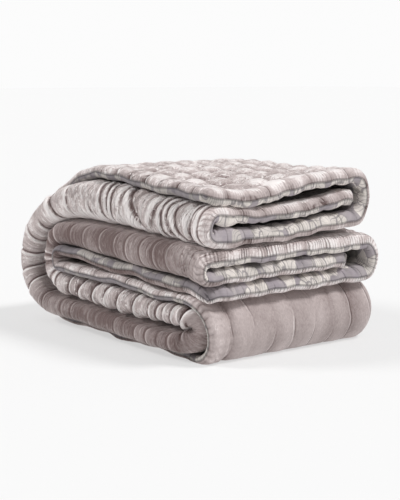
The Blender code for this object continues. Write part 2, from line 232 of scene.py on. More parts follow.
# A crease in the velvet of the near fold: at is where it crosses the fold's outermost line, start and
# end how far it runs to either side (below 0 towards the middle layer), lean and bow how it slants and
# bends, and depth and width its trough. A lip stands up ahead of each trough, or behind it where the
# width is below 0.
Crease = namedtuple("Crease", "at start end lean bow depth width")
CREASES = (
    Crease(0.06, -0.055, 0.045, -0.10, -4.0, 0.0030, 0.003),
    Crease(0.13, -0.055, 0.045, -0.30, -6.0, 0.0045, 0.005),
    Crease(0.24, -0.055, 0.050, 0.38, -17.0, 0.0060, 0.006),
    Crease(0.30, -0.045, 0.045, 0.10, -8.0, 0.0035, 0.003),
    Crease(0.345, -0.050, 0.050, 0.02, -4.0, 0.0045, 0.004),
    Crease(0.42, -0.020, 0.050, -0.38, 0.0, 0.0045, 0.006),
    Crease(0.585, -0.060, 0.050, 0.85, -5.0, 0.0080, 0.008),
    Crease(0.70, 0.000, 0.050, 0.10, -4.0, 0.0035, 0.005),
    Crease(0.775, -0.035, 0.050, 0.05, 8.0, 0.0045, 0.004),
    Crease(0.825, -0.030, 0.050, 0.15, 6.0, 0.0040, 0.003),
    Crease(0.875, -0.050, 0.050, 0.25, 3.0, 0.0035, 0.004),
    Crease(0.96, -0.055, -0.005, 0.35, 2.0, 0.0028, 0.003),
    Crease(1.00, -0.058, 0.000, 0.40, 2.0, 0.0030, 0.003),
    Crease(1.05, -0.058, -0.005, 0.45, 2.0, 0.0026, 0.003),
    Crease(1.11, -0.030, 0.050, 0.20, 4.0, 0.0030, 0.004),
    Crease(1.21, -0.060, 0.050, 0.50, 2.0, 0.0065, 0.006),
    Crease(1.30, -0.060, 0.000, -0.35, 0.0, 0.0035, 0.004),
    Crease(1.40, -0.060, 0.035, -0.15, 0.0, 0.0028, 0.004),
    Crease(1.52, -0.060, 0.045, 0.15, 0.0, 0.0035, 0.004),
    Crease(1.64, -0.060, 0.030, 0.30, 0.0, 0.0025, 0.004),
    Crease(1.76, -0.060, 0.040, 0.40, 1.0, 0.0030, 0.004),
    Crease(1.92, -0.055, 0.040, 0.20, 1.0, 0.0022, 0.003),
    Crease(2.10, -0.055, 0.030, 0.15, 3.0, 0.0010, 0.003),
    Crease(2.19, -0.055, 0.035, 0.15, 3.0, 0.0013, 0.003),
    Crease(2.34, -0.055, 0.040, 0.20, 4.0, 0.0009, 0.003),
    Crease(2.41, -0.020, 0.040, 0.20, 4.0, 0.0007, 0.003),
    Crease(2.56, -0.055, 0.040, 0.20, 6.0, 0.0010, 0.003),
    Crease(2.63, -0.055, 0.030, 0.20, 6.0, 0.0007, 0.003),
    Crease(2.72, -0.055, 0.045, 0.10, 10.0, 0.0012, 0.003),
    Crease(2.80, -0.055, 0.045, 0.20, 12.0, 0.0016, 0.004),
    Crease(2.88, -0.055, 0.045, 0.25, 12.0, 0.0009, 0.004),
    Crease(2.95, -0.055, 0.045, 0.20, 10.0, 0.0015, 0.003),
    Crease(3.12, -0.060, 0.000, 0.10, 3.0, 0.0030, 0.003),
    Crease(3.26, -0.060, -0.010, 0.05, 0.0, 0.0040, 0.003),
    Crease(3.38, -0.060, -0.018, 0.02, 0.0, 0.0045, 0.003),
    Crease(3.50, -0.060, -0.020, -0.02, 0.0, 0.0045, 0.003),
    Crease(3.62, -0.060, -0.015, -0.05, 0.0, 0.0050, 0.003),
    Crease(3.76, -0.060, 0.000, -0.05, 0.0, 0.0060, 0.004),
    Crease(3.93, -0.060, 0.040, -0.25, -6.0, 0.0075, -0.005),
    Crease(4.06, -0.060, 0.040, -0.30, -9.0, 0.0030, -0.003),
    Crease(4.12, -0.055, 0.045, -0.30, -11.0, 0.0018, -0.003),
    Crease(4.17, -0.055, 0.045, -0.32, -12.0, 0.0022, -0.003),
    Crease(4.23, -0.055, 0.045, -0.32, -12.0, 0.0034, -0.004),
    Crease(4.355, -0.055, 0.045, -0.35, -12.0, 0.0070, -0.005),
    Crease(4.49, -0.055, 0.045, -0.40, -12.0, 0.0070, -0.005),
    Crease(4.60, -0.010, 0.045, -0.45, -10.0, 0.0040, -0.004),
    Crease(4.71, -0.055, 0.045, -0.50, -8.0, 0.0045, -0.004),
    Crease(4.84, -0.055, 0.045, -0.70, -8.0, 0.0065, -0.005),
    Crease(4.94, -0.055, 0.045, -0.40, -6.0, 0.0040, -0.004),
    Crease(5.14, -0.055, 0.040, 0.16, 0.0, 0.0028, 0.004),
    Crease(5.25, -0.055, 0.040, 0.08, 2.0, 0.0022, 0.003),
    Crease(5.43, -0.055, 0.020, -0.08, 0.0, 0.0030, 0.004),
    Crease(5.52, -0.055, 0.040, 0.05, -2.0, 0.0022, 0.003),
    Crease(5.69, -0.055, 0.010, -0.12, 0.0, 0.0030, 0.004),
    Crease(5.84, -0.055, 0.040, -0.05, 0.0, 0.0024, 0.003),
    Crease(6.10, -0.050, 0.045, 0.05, 5.0, 0.0014, 0.003),
    Crease(6.22, -0.050, 0.045, 0.10, 7.0, 0.0010, 0.003),
    Crease(6.37, -0.050, 0.045, 0.15, 9.0, 0.0016, 0.003),
    Crease(6.50, -0.050, 0.045, 0.20, 10.0, 0.0012, 0.003),
    Crease(6.60, -0.050, 0.045, 0.25, 10.0, 0.0018, 0.003),
    Crease(6.72, -0.050, 0.045, 0.25, 12.0, 0.0012, 0.003),
    Crease(6.82, -0.050, 0.045, 0.25, 12.0, 0.0016, 0.003),
    Crease(6.92, -0.050, 0.045, 0.25, 12.0, 0.0012, 0.003),
)

# Places along the strip, and how far the near folds swell there towards each other, where two
# levels face each other.
SWELLS = (
    (0.1, 0.0), (0.3, 0.0045), (0.7, 0.0045), (0.92, 0.0105), (1.1, 0.0085), (1.22, 0.0),
    (2.0, 0.0), (2.2, 0.0045), (2.9, 0.0045), (3.0, 0.0), (4.1, 0.0), (4.3, 0.0045),
    (4.9, 0.0045), (5.0, 0.0), (5.8, 0.0), (6.0, 0.0095), (6.2, 0.0085), (6.45, 0.0045),
    (7.5, 0.0045), (7.7, 0.0),
)

# Places along the strip, and how strongly the stitches draw up fine ripples there.
GATHERED = ((2.9, 1.0), (3.2, 2.0), (3.8, 2.0), (4.1, 1.0), (7.0, 1.0), (7.3, 2.3))

# The stretches of the strip whose near folds press on each other, the upper one first.
PRESSING = (((0.0, 1.15), (5.85, 8.0)), ((3.85, 5.15), (1.9, 3.1)))
PRESS_DEPTH = 0.10  # from the near fold's outside, how far in they are flattened
PRESS_GAP = 0.0001  # and how far each stays from the height where they meet


def eased(share):
    """0 to 1, leaving and arriving level."""
    share = np.clip(share, 0.0, 1.0)
    return share * share * (3.0 - 2.0 * share)


def bell(distance, width):
    """1 at no distance, falling off smoothly over the width."""
    return np.exp(-((distance / width) ** 2))


def wandering(place, seed, waves, size):
    """A smooth random curve: a sum of waves of seeded length and phase."""
    rng = np.random.default_rng(seed)
    total = np.zeros_like(place)
    for wave in waves:
        stretched = wave * rng.uniform(0.85, 1.15)
        total += np.sin(2 * pi * (place / stretched + rng.uniform(0, 1)))
    return total * size / len(waves)


def table_at(table, at):
    """A table's columns at many places between its rows, on smooth curves through them."""
    places = np.array([row.at for row in table])
    values = np.array([row[1:] for row in table])
    slopes = np.gradient(values, places, axis=0)
    i = np.clip(np.searchsorted(places, at, side="right") - 1, 0, len(places) - 2)
    span = (places[i + 1] - places[i])[:, None]
    t = (at - places[i])[:, None] / span
    blend = values[i] + (values[i + 1] - values[i]) * t * t * (3 - 2 * t)
    blend += slopes[i] * span * t * (1 - t) ** 2 - slopes[i + 1] * span * t * t * (1 - t)
    return type(table[0])(at[:, None], *[blend[:, k : k + 1] for k in range(blend.shape[1])])


def leg_numbers(at):
    """The number of the leg that each place lies in."""
    return np.minimum(at.astype(int), len(LEGS) - 1)


def strip_line(at):
    """The middle line's (x, z) at many places in legs."""
    number = leg_numbers(at)
    share = at - number
    ends = np.array([START] + [(leg.x, leg.z) for leg in LEGS])
    reach = np.array([leg.reach for leg in LEGS])[number]
    x0, z0 = ends[number].T
    x1, z1 = ends[number + 1].T
    run = z0 + (z1 - z0) * eased(share)
    bend = (z0 + z1) / 2 + (z0 - z1) / 2 * np.cos(pi * share)
    x = x0 + (x1 - x0) * share + reach * np.sin(pi * share)
    return np.stack([x, np.where(reach == 0.0, run, bend)], axis=1)


def rows_along():
    """Places of the mesh's rows in legs, and their distances along the middle line."""
    at = np.linspace(0.0, len(LEGS), 8001)
    step = np.linalg.norm(np.diff(strip_line(at), axis=0), axis=1)
    density = np.array([leg.density for leg in LEGS])[leg_numbers(at[:-1])]
    length = np.concatenate([[0.0], np.cumsum(step)])
    from_end = np.minimum(length, length[-1] - length)[:-1]
    density = density * np.where(from_end < END_FINE, END_DENSITY, 1.0)
    weight = np.concatenate([[0.0], np.cumsum(step * density)])
    rows = np.interp(np.linspace(0.0, weight[-1], ROWS + 1), weight, at)
    return rows, np.interp(rows, at, length)


def outward_normals(at):
    """The middle line's outward normals, (x, z)."""
    step = 1e-4
    ahead = strip_line(np.clip(at + step, 0.0, len(LEGS)))
    tangent = ahead - strip_line(np.clip(at - step, 0.0, len(LEGS)))
    tangent /= np.linalg.norm(tangent, axis=1)[:, None]
    return np.stack([tangent[:, 1], -tangent[:, 0]], axis=1)


def bend_room(at):
    """How far the strip may reach below and above its middle line before it meets itself in a bend."""
    low = np.full(len(at), np.inf)
    high = np.full(len(at), np.inf)
    for number, leg in enumerate(LEGS):
        if leg.reach == 0.0:
            continue
        inside = (at > number) & (at < number + 1)
        rise = leg.z - LEGS[number - 1].z
        (low if rise * leg.reach > 0 else high)[inside] = abs(rise) / 2
    return low[:, None], high[:, None]


def zone_cuts(zone):
    """Where the cuts of one zone lie, as shares of it, without its end."""
    share = np.arange(zone.cuts)[None, :] / zone.cuts
    if zone.crowd > 0:
        return 1 - (1 - share) ** zone.crowd
    return share**-zone.crowd if zone.crowd < 0 else share


def half_turn(share, fullness):
    """A half circle's sideways and upward places, squarer the lower its fullness is under 1."""
    turn = pi * share
    sideways = np.sin(turn) ** fullness
    return sideways, np.sign(np.cos(turn)) * np.abs(np.cos(turn)) ** fullness


class Fold:
    """The quilt's middle surface through all its folds, on a grid of rows along and columns across.

    across and along are places in the flat cloth, band is the distance from the near fold's
    outermost line, and hem and end are the distances from the sewn edges.
    """

    def __init__(self):
        self.at, length = rows_along()
        self.row = row = table_at(SECTIONS, self.at)
        room = bend_room(self.at)
        low, top = [np.minimum(row.strip / 2, side) - row.layer / 2 - SLACK / 2 for side in room]
        far_radius = (top + low) / 2
        near_radius = (low + row.lift) / 2
        far_y = row.far - row.layer / 2 - far_radius
        near_y = row.near + row.layer / 2 + near_radius
        cut = {zone.name: zone_cuts(zone) for zone in ZONES}

        edge = np.concatenate([HEM_STEPS, np.linspace(0.0228, HEM_END, 17)])[None, :-1]
        outer_start = row.hem + HEM_END
        fade = 1 - eased(self.at / END_REACH)[:, None]
        tuck_y = row.tuck + TUCK_REACH * fade - np.array(TUCK_STEPS)[None, :]
        flat = np.concatenate([near_y + (tuck_y[:, :1] - near_y) * cut["inner"], tuck_y], axis=1)
        far_turn = half_turn(cut["far"], FAR_FULLNESS)
        near_turn = half_turn(cut["near"], NEAR_FULLNESS)
        stretches = (
            (row.hem + edge, top + 0 * edge),
            (outer_start + (far_y - outer_start) * cut["outer"], top + 0 * cut["outer"]),
            (far_y + far_radius * far_turn[0], top - far_radius + far_radius * far_turn[1]),
            (far_y + (near_y - far_y) * cut["middle"], -low + 0 * cut["middle"]),
            (
                near_y - near_radius * near_turn[0],
                row.lift - near_radius - near_radius * near_turn[1],
            ),
            (flat, row.rest + (row.lift - row.rest) * (1 - eased((flat - near_y) / LIFT_REACH))),
        )
        self.y, self.h = [np.concatenate(values, axis=1) for values in zip(*stretches)]
        starts = np.cumsum([0] + [zone.cuts for zone in ZONES])
        self.start = dict(zip([zone.name for zone in ZONES], starts.tolist()))
        outer = slice(0, self.start["far"])
        self.h[:, outer] += row.flap * (1 - eased((self.y[:, outer] - row.hem) / FLAP_REACH))
        self.h[:, outer] -= END_DISH * bell(self.y[:, outer] - DISH_MIDDLE, DISH_WIDTH) * fade
        inner = slice(starts[5], None)
        lifted = eased((self.y[:, inner] - END_LIFT_START) / END_LIFT_REACH)
        self.h[:, inner] += END_LIFT * lifted * fade
        self.h += END_TILT * eased((self.y - TILT_START) / TILT_REACH) * fade

        self.line = strip_line(self.at)
        self.outward = outward_normals(self.at)
        steps = np.hypot(np.diff(self.y, axis=1), np.diff(self.h, axis=1))
        self.across = np.concatenate([np.zeros((len(steps), 1)), np.cumsum(steps, axis=1)], axis=1)
        near_middle = (self.start["near"] + self.start["inner"]) // 2
        self.band = self.across - self.across[:, near_middle : near_middle + 1]
        self.along = length[:, None] + 0 * self.y
        self.hem = np.minimum(self.across, self.across[:, -1:] - self.across)
        self.end = np.minimum(self.along, length[-1] - self.along)
        self.length = length[-1]
        self.slide = 0 * self.y
        self.let_edges_wave()
        tangent = np.stack([np.gradient(self.y, axis=1), np.gradient(self.h, axis=1)])
        tangent /= np.linalg.norm(tangent, axis=0)
        self.normal = np.stack([-tangent[1], tangent[0]])

    def let_edges_wave(self):
        """The sewn edges wave up and down and in and out, and the corners are drawn in."""
        loose = 1 - eased(self.hem / HEM_LOOSE)
        self.h += loose * wandering(self.along, 61, *HEM_RISE)
        self.y += loose * wandering(self.along, 62, *HEM_DRIFT)
        corner = (1 - eased(self.hem / CORNER_REACH)) * (1 - eased(self.end / CORNER_REACH))
        self.y += CORNER_ROUND * corner * np.where(self.across < self.across[:, -1:] / 2, 1, -1)
        self.slide += CORNER_ROUND * corner * np.where(self.along < self.length / 2, 1, -1)
        at_end = 1 - eased(self.end / END_LOOSE)
        self.slide += at_end * wandering(self.across, 63, *END_DRIFT)
        self.h += at_end * wandering(self.across, 64, *END_RISE)

    def points(self, offset):
        """The surface at an offset along its normal, settled, before it is set on the floor."""
        y = self.y + self.normal[0] * offset
        h = self.h + self.normal[1] * offset
        x = self.line[:, :1] + self.outward[:, :1] * h - self.outward[:, 1:] * self.slide
        z = self.line[:, 1:] + self.outward[:, 1:] * h + self.outward[:, :1] * self.slide
        crown = CROWN
        for place, reach in zip((x, y), CROWN_REACH):
            crown = crown * np.cos(np.clip(place / reach, -1, 1) * pi / 2)
        sag = NEAR_CORNER_SAG * eased((x - SAG_START[0]) / SAG_REACH[0])
        sag = sag * eased((SAG_START[1] - y) / SAG_REACH[1])
        droop = EDGE_DROOP * (1 - eased(self.end / DROOP_REACH))
        return np.stack([x, y, z * (1 + crown - sag) - droop], axis=-1)

    def settle(self):
        """How far down and sideways the whole quilt moves to lie on the floor, centred."""
        plain = RIM + (self.row.layer / 2 - RIM) * rounded(self.hem) * rounded(self.end)
        outside = np.concatenate([self.points(plain), self.points(-plain)]).reshape(-1, 3)
        low, high = outside.min(axis=0), outside.max(axis=0)
        middle = (low + high) / 2
        return np.array([middle[0], middle[1], low[2] + FLOOR_PRESS])


def rounded(distance):
    """How full the filling is at a distance from the sewn edge, from 0 at the edge to 1."""
    return np.sqrt(1.0 - (1.0 - np.clip(distance / EDGE_ROUND, 0.0, 1.0)) ** 2)


def pillow(place, pitch):
    """How full a channel is at a place: 0 on its rows of stitches and 1 in its middle."""
    return np.abs(np.sin(pi * place / pitch)) ** PILLOW_POWER


def from_rows(fold):
    """Places across and along from the first rows of stitches, which wander a little."""
    across = fold.across + wandering(fold.along, 5, (0.23, 0.37), 0.004)
    along = fold.along + wandering(fold.across, 3, (0.19, 0.31), 0.004)
    return across - BORDER, along - BORDER


def quilting_puff(fold, pitch):
    """How the quilting's squares stand up between their rows of stitches, about 0, used for painted
    highlights on their tops and painted shade along their rows.
    """
    q = table_at(QUILTING, fold.at)
    across, along = from_rows(fold)
    cross = q.cross * (pillow(along, pitch) - PILLOW_MEAN)
    return cross + q.long * (pillow(across, pitch) - PILLOW_MEAN)


def half_thickness(fold, pitch):
    """The filling's half thickness with its quilting, before creases."""
    q = table_at(QUILTING, fold.at)
    near = bell(fold.band, NEAR_BAND * 1.2)
    across, along = from_rows(fold)
    cross = 1 - (q.cross * (1 - near) + q.lobe * near) * (1 - pillow(along, pitch))
    long = 1 - q.long * (1 - near) * (1 - pillow(across, pitch))
    from_edge = np.minimum(fold.hem, fold.end)
    inside = eased((from_edge - BORDER * 0.8) / (BORDER * 0.4))
    border = 1 - BORDER_PINCH * bell(from_edge - BORDER, BORDER_WIDTH)
    puff = (1 + (cross * long - 1) * inside) * border
    full = rounded(fold.end) * rounded(fold.hem)
    return RIM + (fold.row.layer / 2 - RIM) * full * puff


def press_crease(relief, lines, fold, crease):
    """Presses one crease and its lip into a grid of heights, and paints them on a grid of lines: a
    painted highlight along the lip and painted shade in the trough.
    """
    middle = np.interp(crease.at, fold.at, fold.along[:, 0])
    window = slice(*np.searchsorted(fold.along[:, 0], [middle - 0.11, middle + 0.11]))
    band = fold.band[window]
    line = middle + crease.lean * band + crease.bow * band**2
    aside = (fold.along[window] - line) * np.sign(crease.width)
    width = abs(crease.width)
    soft = eased((band - crease.start) / 0.015) * eased((crease.end - band) / 0.015)
    trough = 0.50 * bell(aside - 1.6 * width, width) - np.exp(-np.abs(aside) / width)
    relief[window] += crease.depth * soft * trough
    fine = bell(aside - 0.9 * width - 0.0012, 0.0021) - 0.8 * bell(aside, 0.0022)
    lines[window] += min(crease.depth / 0.0040, 1.2) * soft * fine


def wrap_creases(fold, spacing):
    """Fine creases that wrap round the near fold all along the strip in loose clusters, seeded."""
    rng = np.random.default_rng(11)
    wrap = table_at(QUILTING, fold.at).wrap[:, 0]
    bows = np.interp(fold.at, [row.at for row in NAPS_AND_PAINTED_LIGHT], [row.bow for row in NAPS_AND_PAINTED_LIGHT])
    found = []
    place = 0.012
    while place < fold.length - 0.01:
        row = np.searchsorted(fold.along[:, 0], place)
        depth = 0.0013 * rng.uniform(0.15, 1.0) ** 2 * wrap[row]
        middle = rng.uniform(-0.025, 0.02)
        reach = rng.uniform(0.018, 0.05)
        bow = bows[row] * rng.uniform(0.5, 1.3) + rng.uniform(-2, 2)
        lean = 0.02 * bows[row] + rng.uniform(-0.12, 0.12)
        width = rng.uniform(0.0018, 0.0030)
        found.append(Crease(fold.at[row], middle - reach, middle + reach, lean, bow, depth, width))
        place += spacing * rng.choice([0.5, 0.7, 1.2, 2.0])
    return found


def gathers(place, pitch):
    """Rounded ripples with sharp valleys between them, about 0."""
    return np.abs(np.sin(pi * place / pitch)) ** 0.7 - 0.62


def puckers(fold):
    """Short ripples that the stitches draw up, square to the sewn edges and the border's stitches."""
    hem_place = fold.along + wandering(fold.along, 21, (0.05, 0.08), 0.008)
    end_place = fold.across + wandering(fold.across, 23, (0.04, 0.07), 0.008)
    hem_wave = gathers(hem_place, HEM_PUCKERS) * (0.30 + wandering(fold.along, 25, (0.11, 0.07), 0.4))
    end_wave = gathers(end_place, END_PUCKERS) * (0.35 + wandering(fold.across, 27, (0.09, 0.06), 0.5))
    at_hem = bell(fold.hem - 0.012, 0.014) + 0.7 * bell(fold.hem - BORDER, 0.013)
    at_end = bell(fold.end - 0.012, 0.016) + 0.8 * bell(fold.end - BORDER, 0.015)
    return PUCKER_HEIGHT * (hem_wave * at_hem + end_wave * at_end)


def tumble(fold, seed, size):
    """Broad unevenness of the filling."""
    rng = np.random.default_rng(seed)
    total = np.zeros_like(fold.across)
    for _ in range(14):
        angle, wave, phase = rng.uniform(0, pi), rng.uniform(0.05, 0.16), rng.uniform(0, 2 * pi)
        place = fold.across * cos(angle) + fold.along * sin(angle)
        total += np.sin(2 * pi * place / wave + phase)
    return total * size / 5


def shoulder(fold):
    """The near folds swell towards each other between the first two levels and the last two."""
    size = np.interp(fold.at, *zip(*SWELLS))
    return size[:, None] * bell(fold.band + 0.046, 0.020)


def velvet_relief(fold, spacing):
    """How far the velvet stands proud of its smooth half thickness, and the lines of painted highlight
    and shade along its creases.
    """
    relief = puckers(fold) + tumble(fold, 31, 0.0009)
    relief += shoulder(fold)
    lines = np.zeros_like(relief)
    for crease in CREASES + tuple(wrap_creases(fold, spacing)):
        press_crease(relief, lines, fold, crease)
    return relief * rounded(fold.hem) * rounded(fold.end), lines


def print_relief(fold):
    """How far the print stands proud of its smooth half thickness."""
    turns = pi * fold.across / SHELL_PITCH + wandering(fold.across, 41, (0.1, 0.17), 1.6)
    shells = np.abs(np.sin(turns)) ** 0.6 - 0.6
    at_end = bell(fold.end - 0.018, 0.022)
    relief = puckers(fold) * 0.8 + SHELL_HEIGHT * shells * at_end + tumble(fold, 43, 0.0006)
    beside_fold = bell(np.abs(fold.band) - 0.055, 0.030) * (1 - eased(fold.at / 0.7))[:, None]
    relief += BUNCHING * beside_fold
    return relief * rounded(fold.hem) * rounded(fold.end)


def meeting_height(fold, face, rows):
    """The height of one level's face beside its near fold, as a smooth curve over x."""
    beside = face[rows, fold.start["near"] - 4 : fold.start["near"] + 4].mean(axis=1)
    return np.polynomial.Polynomial.fit(beside[:, 0], beside[:, 2], 4)


def press_levels(fold, face):
    """Flattens the near folds of two levels where they would pass through each other."""
    columns = slice(fold.start["middle"], fold.start["inner"])
    for stretches in PRESSING:
        rows = [np.flatnonzero((fold.at >= low) & (fold.at <= high)) for low, high in stretches]
        curves = [meeting_height(fold, face, level) for level in rows]
        reach = [np.sort(face[level, fold.start["near"], 0])[[0, -1]] for level in rows]
        low_x, high_x = max(reach[0][0], reach[1][0]), min(reach[0][1], reach[1][1])
        for level, keep in zip(rows, (np.maximum, np.minimum)):
            part = face[level, columns]
            x = part[..., 0]
            meet = (curves[0](x) + curves[1](x)) / 2
            side = PRESS_GAP if keep is np.maximum else -PRESS_GAP
            close = (part[..., 1] < face[level, columns, 1].min() + PRESS_DEPTH) & (x > low_x)
            close &= x < high_x
            part[..., 2] = np.where(close, keep(part[..., 2], meet + side), part[..., 2])
            face[level, columns] = part
    return face


def velvet_painted_shade(fold, panels):
    """How far inside the folds the velvet is, from 0 where it is open to 1: how much painted shade it
    gets there.
    """
    # Painted shade where the near folds of two levels touch.
    touching = 0.45 * eased((np.abs(fold.band) - 0.039) / 0.015)
    shut = np.maximum(panels, touching) * eased((fold.end - 0.012) / 0.05)
    outer = slice(0, fold.start["middle"])
    between = eased((fold.at - 4.05) / 0.2) * (1 - eased((fold.at - 6.75) / 0.2))
    shut[:, outer] = between[:, None] * eased((fold.hem[:, outer] - 0.020) / 0.05)
    far_middle = (fold.start["far"] + fold.start["middle"]) // 2
    from_far = np.abs(fold.across - fold.across[:, far_middle : far_middle + 1])
    return shut * eased((from_far - 0.045) / 0.070)


def nap_and_painted_light_at(fold):
    """The table's columns over the whole quilt, its painted light and shade among them. A change in the
    table slants across the near fold.
    """
    slanted = fold.at[:, None] - NAP_SLANT * np.clip(fold.band, -NEAR_BAND, NEAR_BAND)
    places = [row.at for row in NAPS_AND_PAINTED_LIGHT]
    return [np.interp(slanted, places, column) for column in list(zip(*NAPS_AND_PAINTED_LIGHT))[1:]]


# ---- Meshes of finer and coarser blocks -------------------------------------------------------


def block_rows(fold, first, last):
    """Which blocks along the strip lie between two places in legs."""
    middles = fold.at[BLOCK // 2 :: BLOCK]
    return np.flatnonzero((middles >= first) & (middles <= last))


def block_columns(fold, first, last):
    """The blocks across from the start of one zone to the end of another."""
    ends = dict(zip([zone.name for zone in ZONES], np.cumsum([zone.cuts for zone in ZONES])))
    return np.arange(fold.start[first] // BLOCK, ends[last] // BLOCK)


def coarse_levels():
    """Levels for all blocks: coarse inside, and fine along the two hems."""
    levels = np.full((ROWS // BLOCK, COLUMNS // BLOCK), COARSEST)
    levels[:, :3] = 1
    levels[:, 0] = 0
    levels[:, -1] = 1
    return levels


def velvet_levels(fold):
    """How coarse each block of the velvet is: 0 keeps every cut and 3 one in eight."""
    levels = coarse_levels()
    far = block_columns(fold, "far", "far")
    levels[:, far] = 1
    near = block_columns(fold, "near", "near")
    levels[:, near[0] - 2 : near[-1] + 3] = 1
    levels[:, near[0] - 1 : near[-1] + 2] = 0
    front = block_columns(fold, "hem", "far")
    levels[np.ix_(block_rows(fold, 0.0, 1.05), front)] = 0
    levels[np.ix_(block_rows(fold, 1.05, 2.0), front[2:])] = 1
    levels[np.ix_(block_rows(fold, 2.95, 4.1), front)] = 0
    levels[[3, -4]] = np.minimum(levels[[3, -4]], 1)
    levels[[0, 1, 2, -3, -2, -1]] = 0
    return levels


def print_levels():
    """The same for the print, which shows at the ends and along the sewn edges."""
    levels = coarse_levels()
    levels[[4, 5, -6, -5]] = np.minimum(levels[[4, 5, -6, -5]], 1)
    levels[[0, 1, 2, 3, -4, -3, -2, -1]] = 0
    return levels


def seam_levels(levels):
    """The seam plane's blocks: coarse, but as fine as every second cut along its edges."""
    coarse = np.full_like(levels, COARSEST)
    coarse[[0, -1]] = 1
    coarse[:, [0, -1]] = 1
    return coarse


def used_points(levels):
    """Which grid points the mesh keeps."""
    rows, columns = levels.shape
    used = np.zeros((rows * BLOCK + 1, columns * BLOCK + 1), bool)
    for (i, j), level in np.ndenumerate(levels):
        step = 2**level
        top, left = i * BLOCK, j * BLOCK
        used[top : top + BLOCK + 1 : step, left : left + BLOCK + 1 : step] = True
    return used


def block_faces(levels, used, index):
    """The polygons of one grid, each with the extra points of finer blocks beside it."""
    polygons = []
    for (i, j), level in np.ndenumerate(levels):
        step = 2**level
        steps = range(step)
        for a in range(i * BLOCK, (i + 1) * BLOCK, step):
            for b in range(j * BLOCK, (j + 1) * BLOCK, step):
                ring = [(a, b + k) for k in steps]
                ring += [(a + k, b + step) for k in steps]
                ring += [(a + step, b + step - k) for k in steps]
                ring += [(a + step - k, b) for k in steps]
                polygons.append([int(index[p]) for p in ring if used[p]])
    return polygons


def border_points(used):
    """Which kept grid points lie on the grid's outer edge."""
    edge = np.zeros_like(used)
    edge[[0, -1]] = used[[0, -1]]
    edge[:, [0, -1]] = used[:, [0, -1]]
    return edge


def rim_faces(used, face, seam):
    """Quads between the borders of a face and of its seam plane."""
    rows, columns = used.shape
    ring = [(0, j) for j in range(columns - 1)]
    ring += [(i, columns - 1) for i in range(rows - 1)]
    ring += [(rows - 1, j) for j in range(columns - 1, 0, -1)]
    ring += [(i, 0) for i in range(rows - 1, 0, -1)]
    ring = [p for p in ring if used[p]]
    return [
        [int(face[b]), int(face[a]), int(seam[a]), int(seam[b])]
        for a, b in zip(ring, ring[1:] + ring[:1])
    ]


def panel(name, fold, face, seam, levels, facing, readings):
    """A closed mesh of one half of the quilt between its face and the seam plane. Its UV map is the
    flat cloth in metres, and readings are grids that become its attributes."""
    used = used_points(levels)
    plane = seam_levels(levels)
    seam_used = used_points(plane) | border_points(used)
    face_index = np.cumsum(used).reshape(used.shape) - 1
    seam_index = np.cumsum(seam_used).reshape(used.shape) - 1 + int(used.sum())
    polygons = block_faces(levels, used, face_index)
    polygons += [ring[::-1] for ring in block_faces(plane, seam_used, seam_index)]
    polygons += rim_faces(used, face_index, seam_index)
    if facing < 0:
        polygons = [ring[::-1] for ring in polygons]

    mesh = bpy.data.meshes.new(name)
    mesh.from_pydata(np.concatenate([face[used], seam[seam_used]]).tolist(), [], polygons)
    mesh.shade_smooth()
    mesh.set_sharp_from_angle(angle=radians(62))

    def at_points(grid):
        return np.concatenate([grid[used], grid[seam_used]]).astype(np.float32)

    for reading, grid in readings.items():
        attribute = mesh.attributes.new(reading, "FLOAT", "POINT")
        attribute.data.foreach_set("value", at_points(grid + 0 * fold.y))
    corners = np.empty(len(mesh.loops), np.int32)
    mesh.loops.foreach_get("vertex_index", corners)
    flat = np.stack([at_points(fold.across), at_points(fold.along)], axis=1)[corners]
    mesh.uv_layers.new(name="flat_cloth").data.foreach_set("uv", flat.ravel())
    mesh.update()
    made = bpy.data.objects.new(name, mesh)
    bpy.context.scene.collection.objects.link(made)
    return made


# ---- Materials --------------------------------------------------------------------------------


def fill(node, inputs):
    """Sets or links a node's inputs by name or number."""
    for socket, value in inputs.items():
        if isinstance(value, Value):
            value = value.socket
        if isinstance(value, bpy.types.NodeSocket):
            node.id_data.links.new(value, node.inputs[socket])
        else:
            node.inputs[socket].default_value = value
    return node


def add_node(tree, kind, inputs=None, **settings):
    """Adds a node, sets what settings name on it, and fills its inputs."""
    made = tree.nodes.new(kind)
    for setting, value in settings.items():
        setattr(made, setting, value)
    return fill(made, inputs or {})


def calculate(operation, *values):
    """A Math node's result. At least one of its values is a node's output."""
    tree = next(value.socket.id_data for value in values if isinstance(value, Value))
    inputs = dict(enumerate(values))
    return Value(add_node(tree, "ShaderNodeMath", inputs, operation=operation).outputs[0])


class Value:
    """A node's output. Arithmetic on it adds Math nodes to its tree."""

    def __init__(self, socket):
        self.socket = socket

    def __add__(self, other):
        return calculate("ADD", self, other)

    def __sub__(self, other):
        return calculate("SUBTRACT", self, other)

    def __mul__(self, other):
        return calculate("MULTIPLY", self, other)

    def __truediv__(self, other):
        return calculate("DIVIDE", self, other)

    def __rtruediv__(self, other):
        return calculate("DIVIDE", other, self)

    def __pow__(self, other):
        return calculate("POWER", self, other)

    def __abs__(self):
        return calculate("ABSOLUTE", self)

    def folded(self):
        """Back and forth between 0 and 0.5, once for each whole number."""
        return calculate("PINGPONG", self, 0.5)

    def mapped(self, low, high, to_low=0.0, to_high=1.0):
        """Eased from one range to another, and held at its ends."""
        inputs = {"Value": self, 1: low, 2: high, 3: to_low, 4: to_high}
        easing = {"interpolation_type": "SMOOTHSTEP"}
        made = add_node(self.socket.id_data, "ShaderNodeMapRange", inputs, **easing)
        return Value(made.outputs["Result"])


def mix_colours(tree, share, first, second, blend="MIX"):
    """A blend of two colours by a share."""
    inputs = {0: share, 6: first, 7: second}
    made = add_node(tree, "ShaderNodeMix", inputs, data_type="RGBA", blend_type=blend)
    return made.outputs[2]


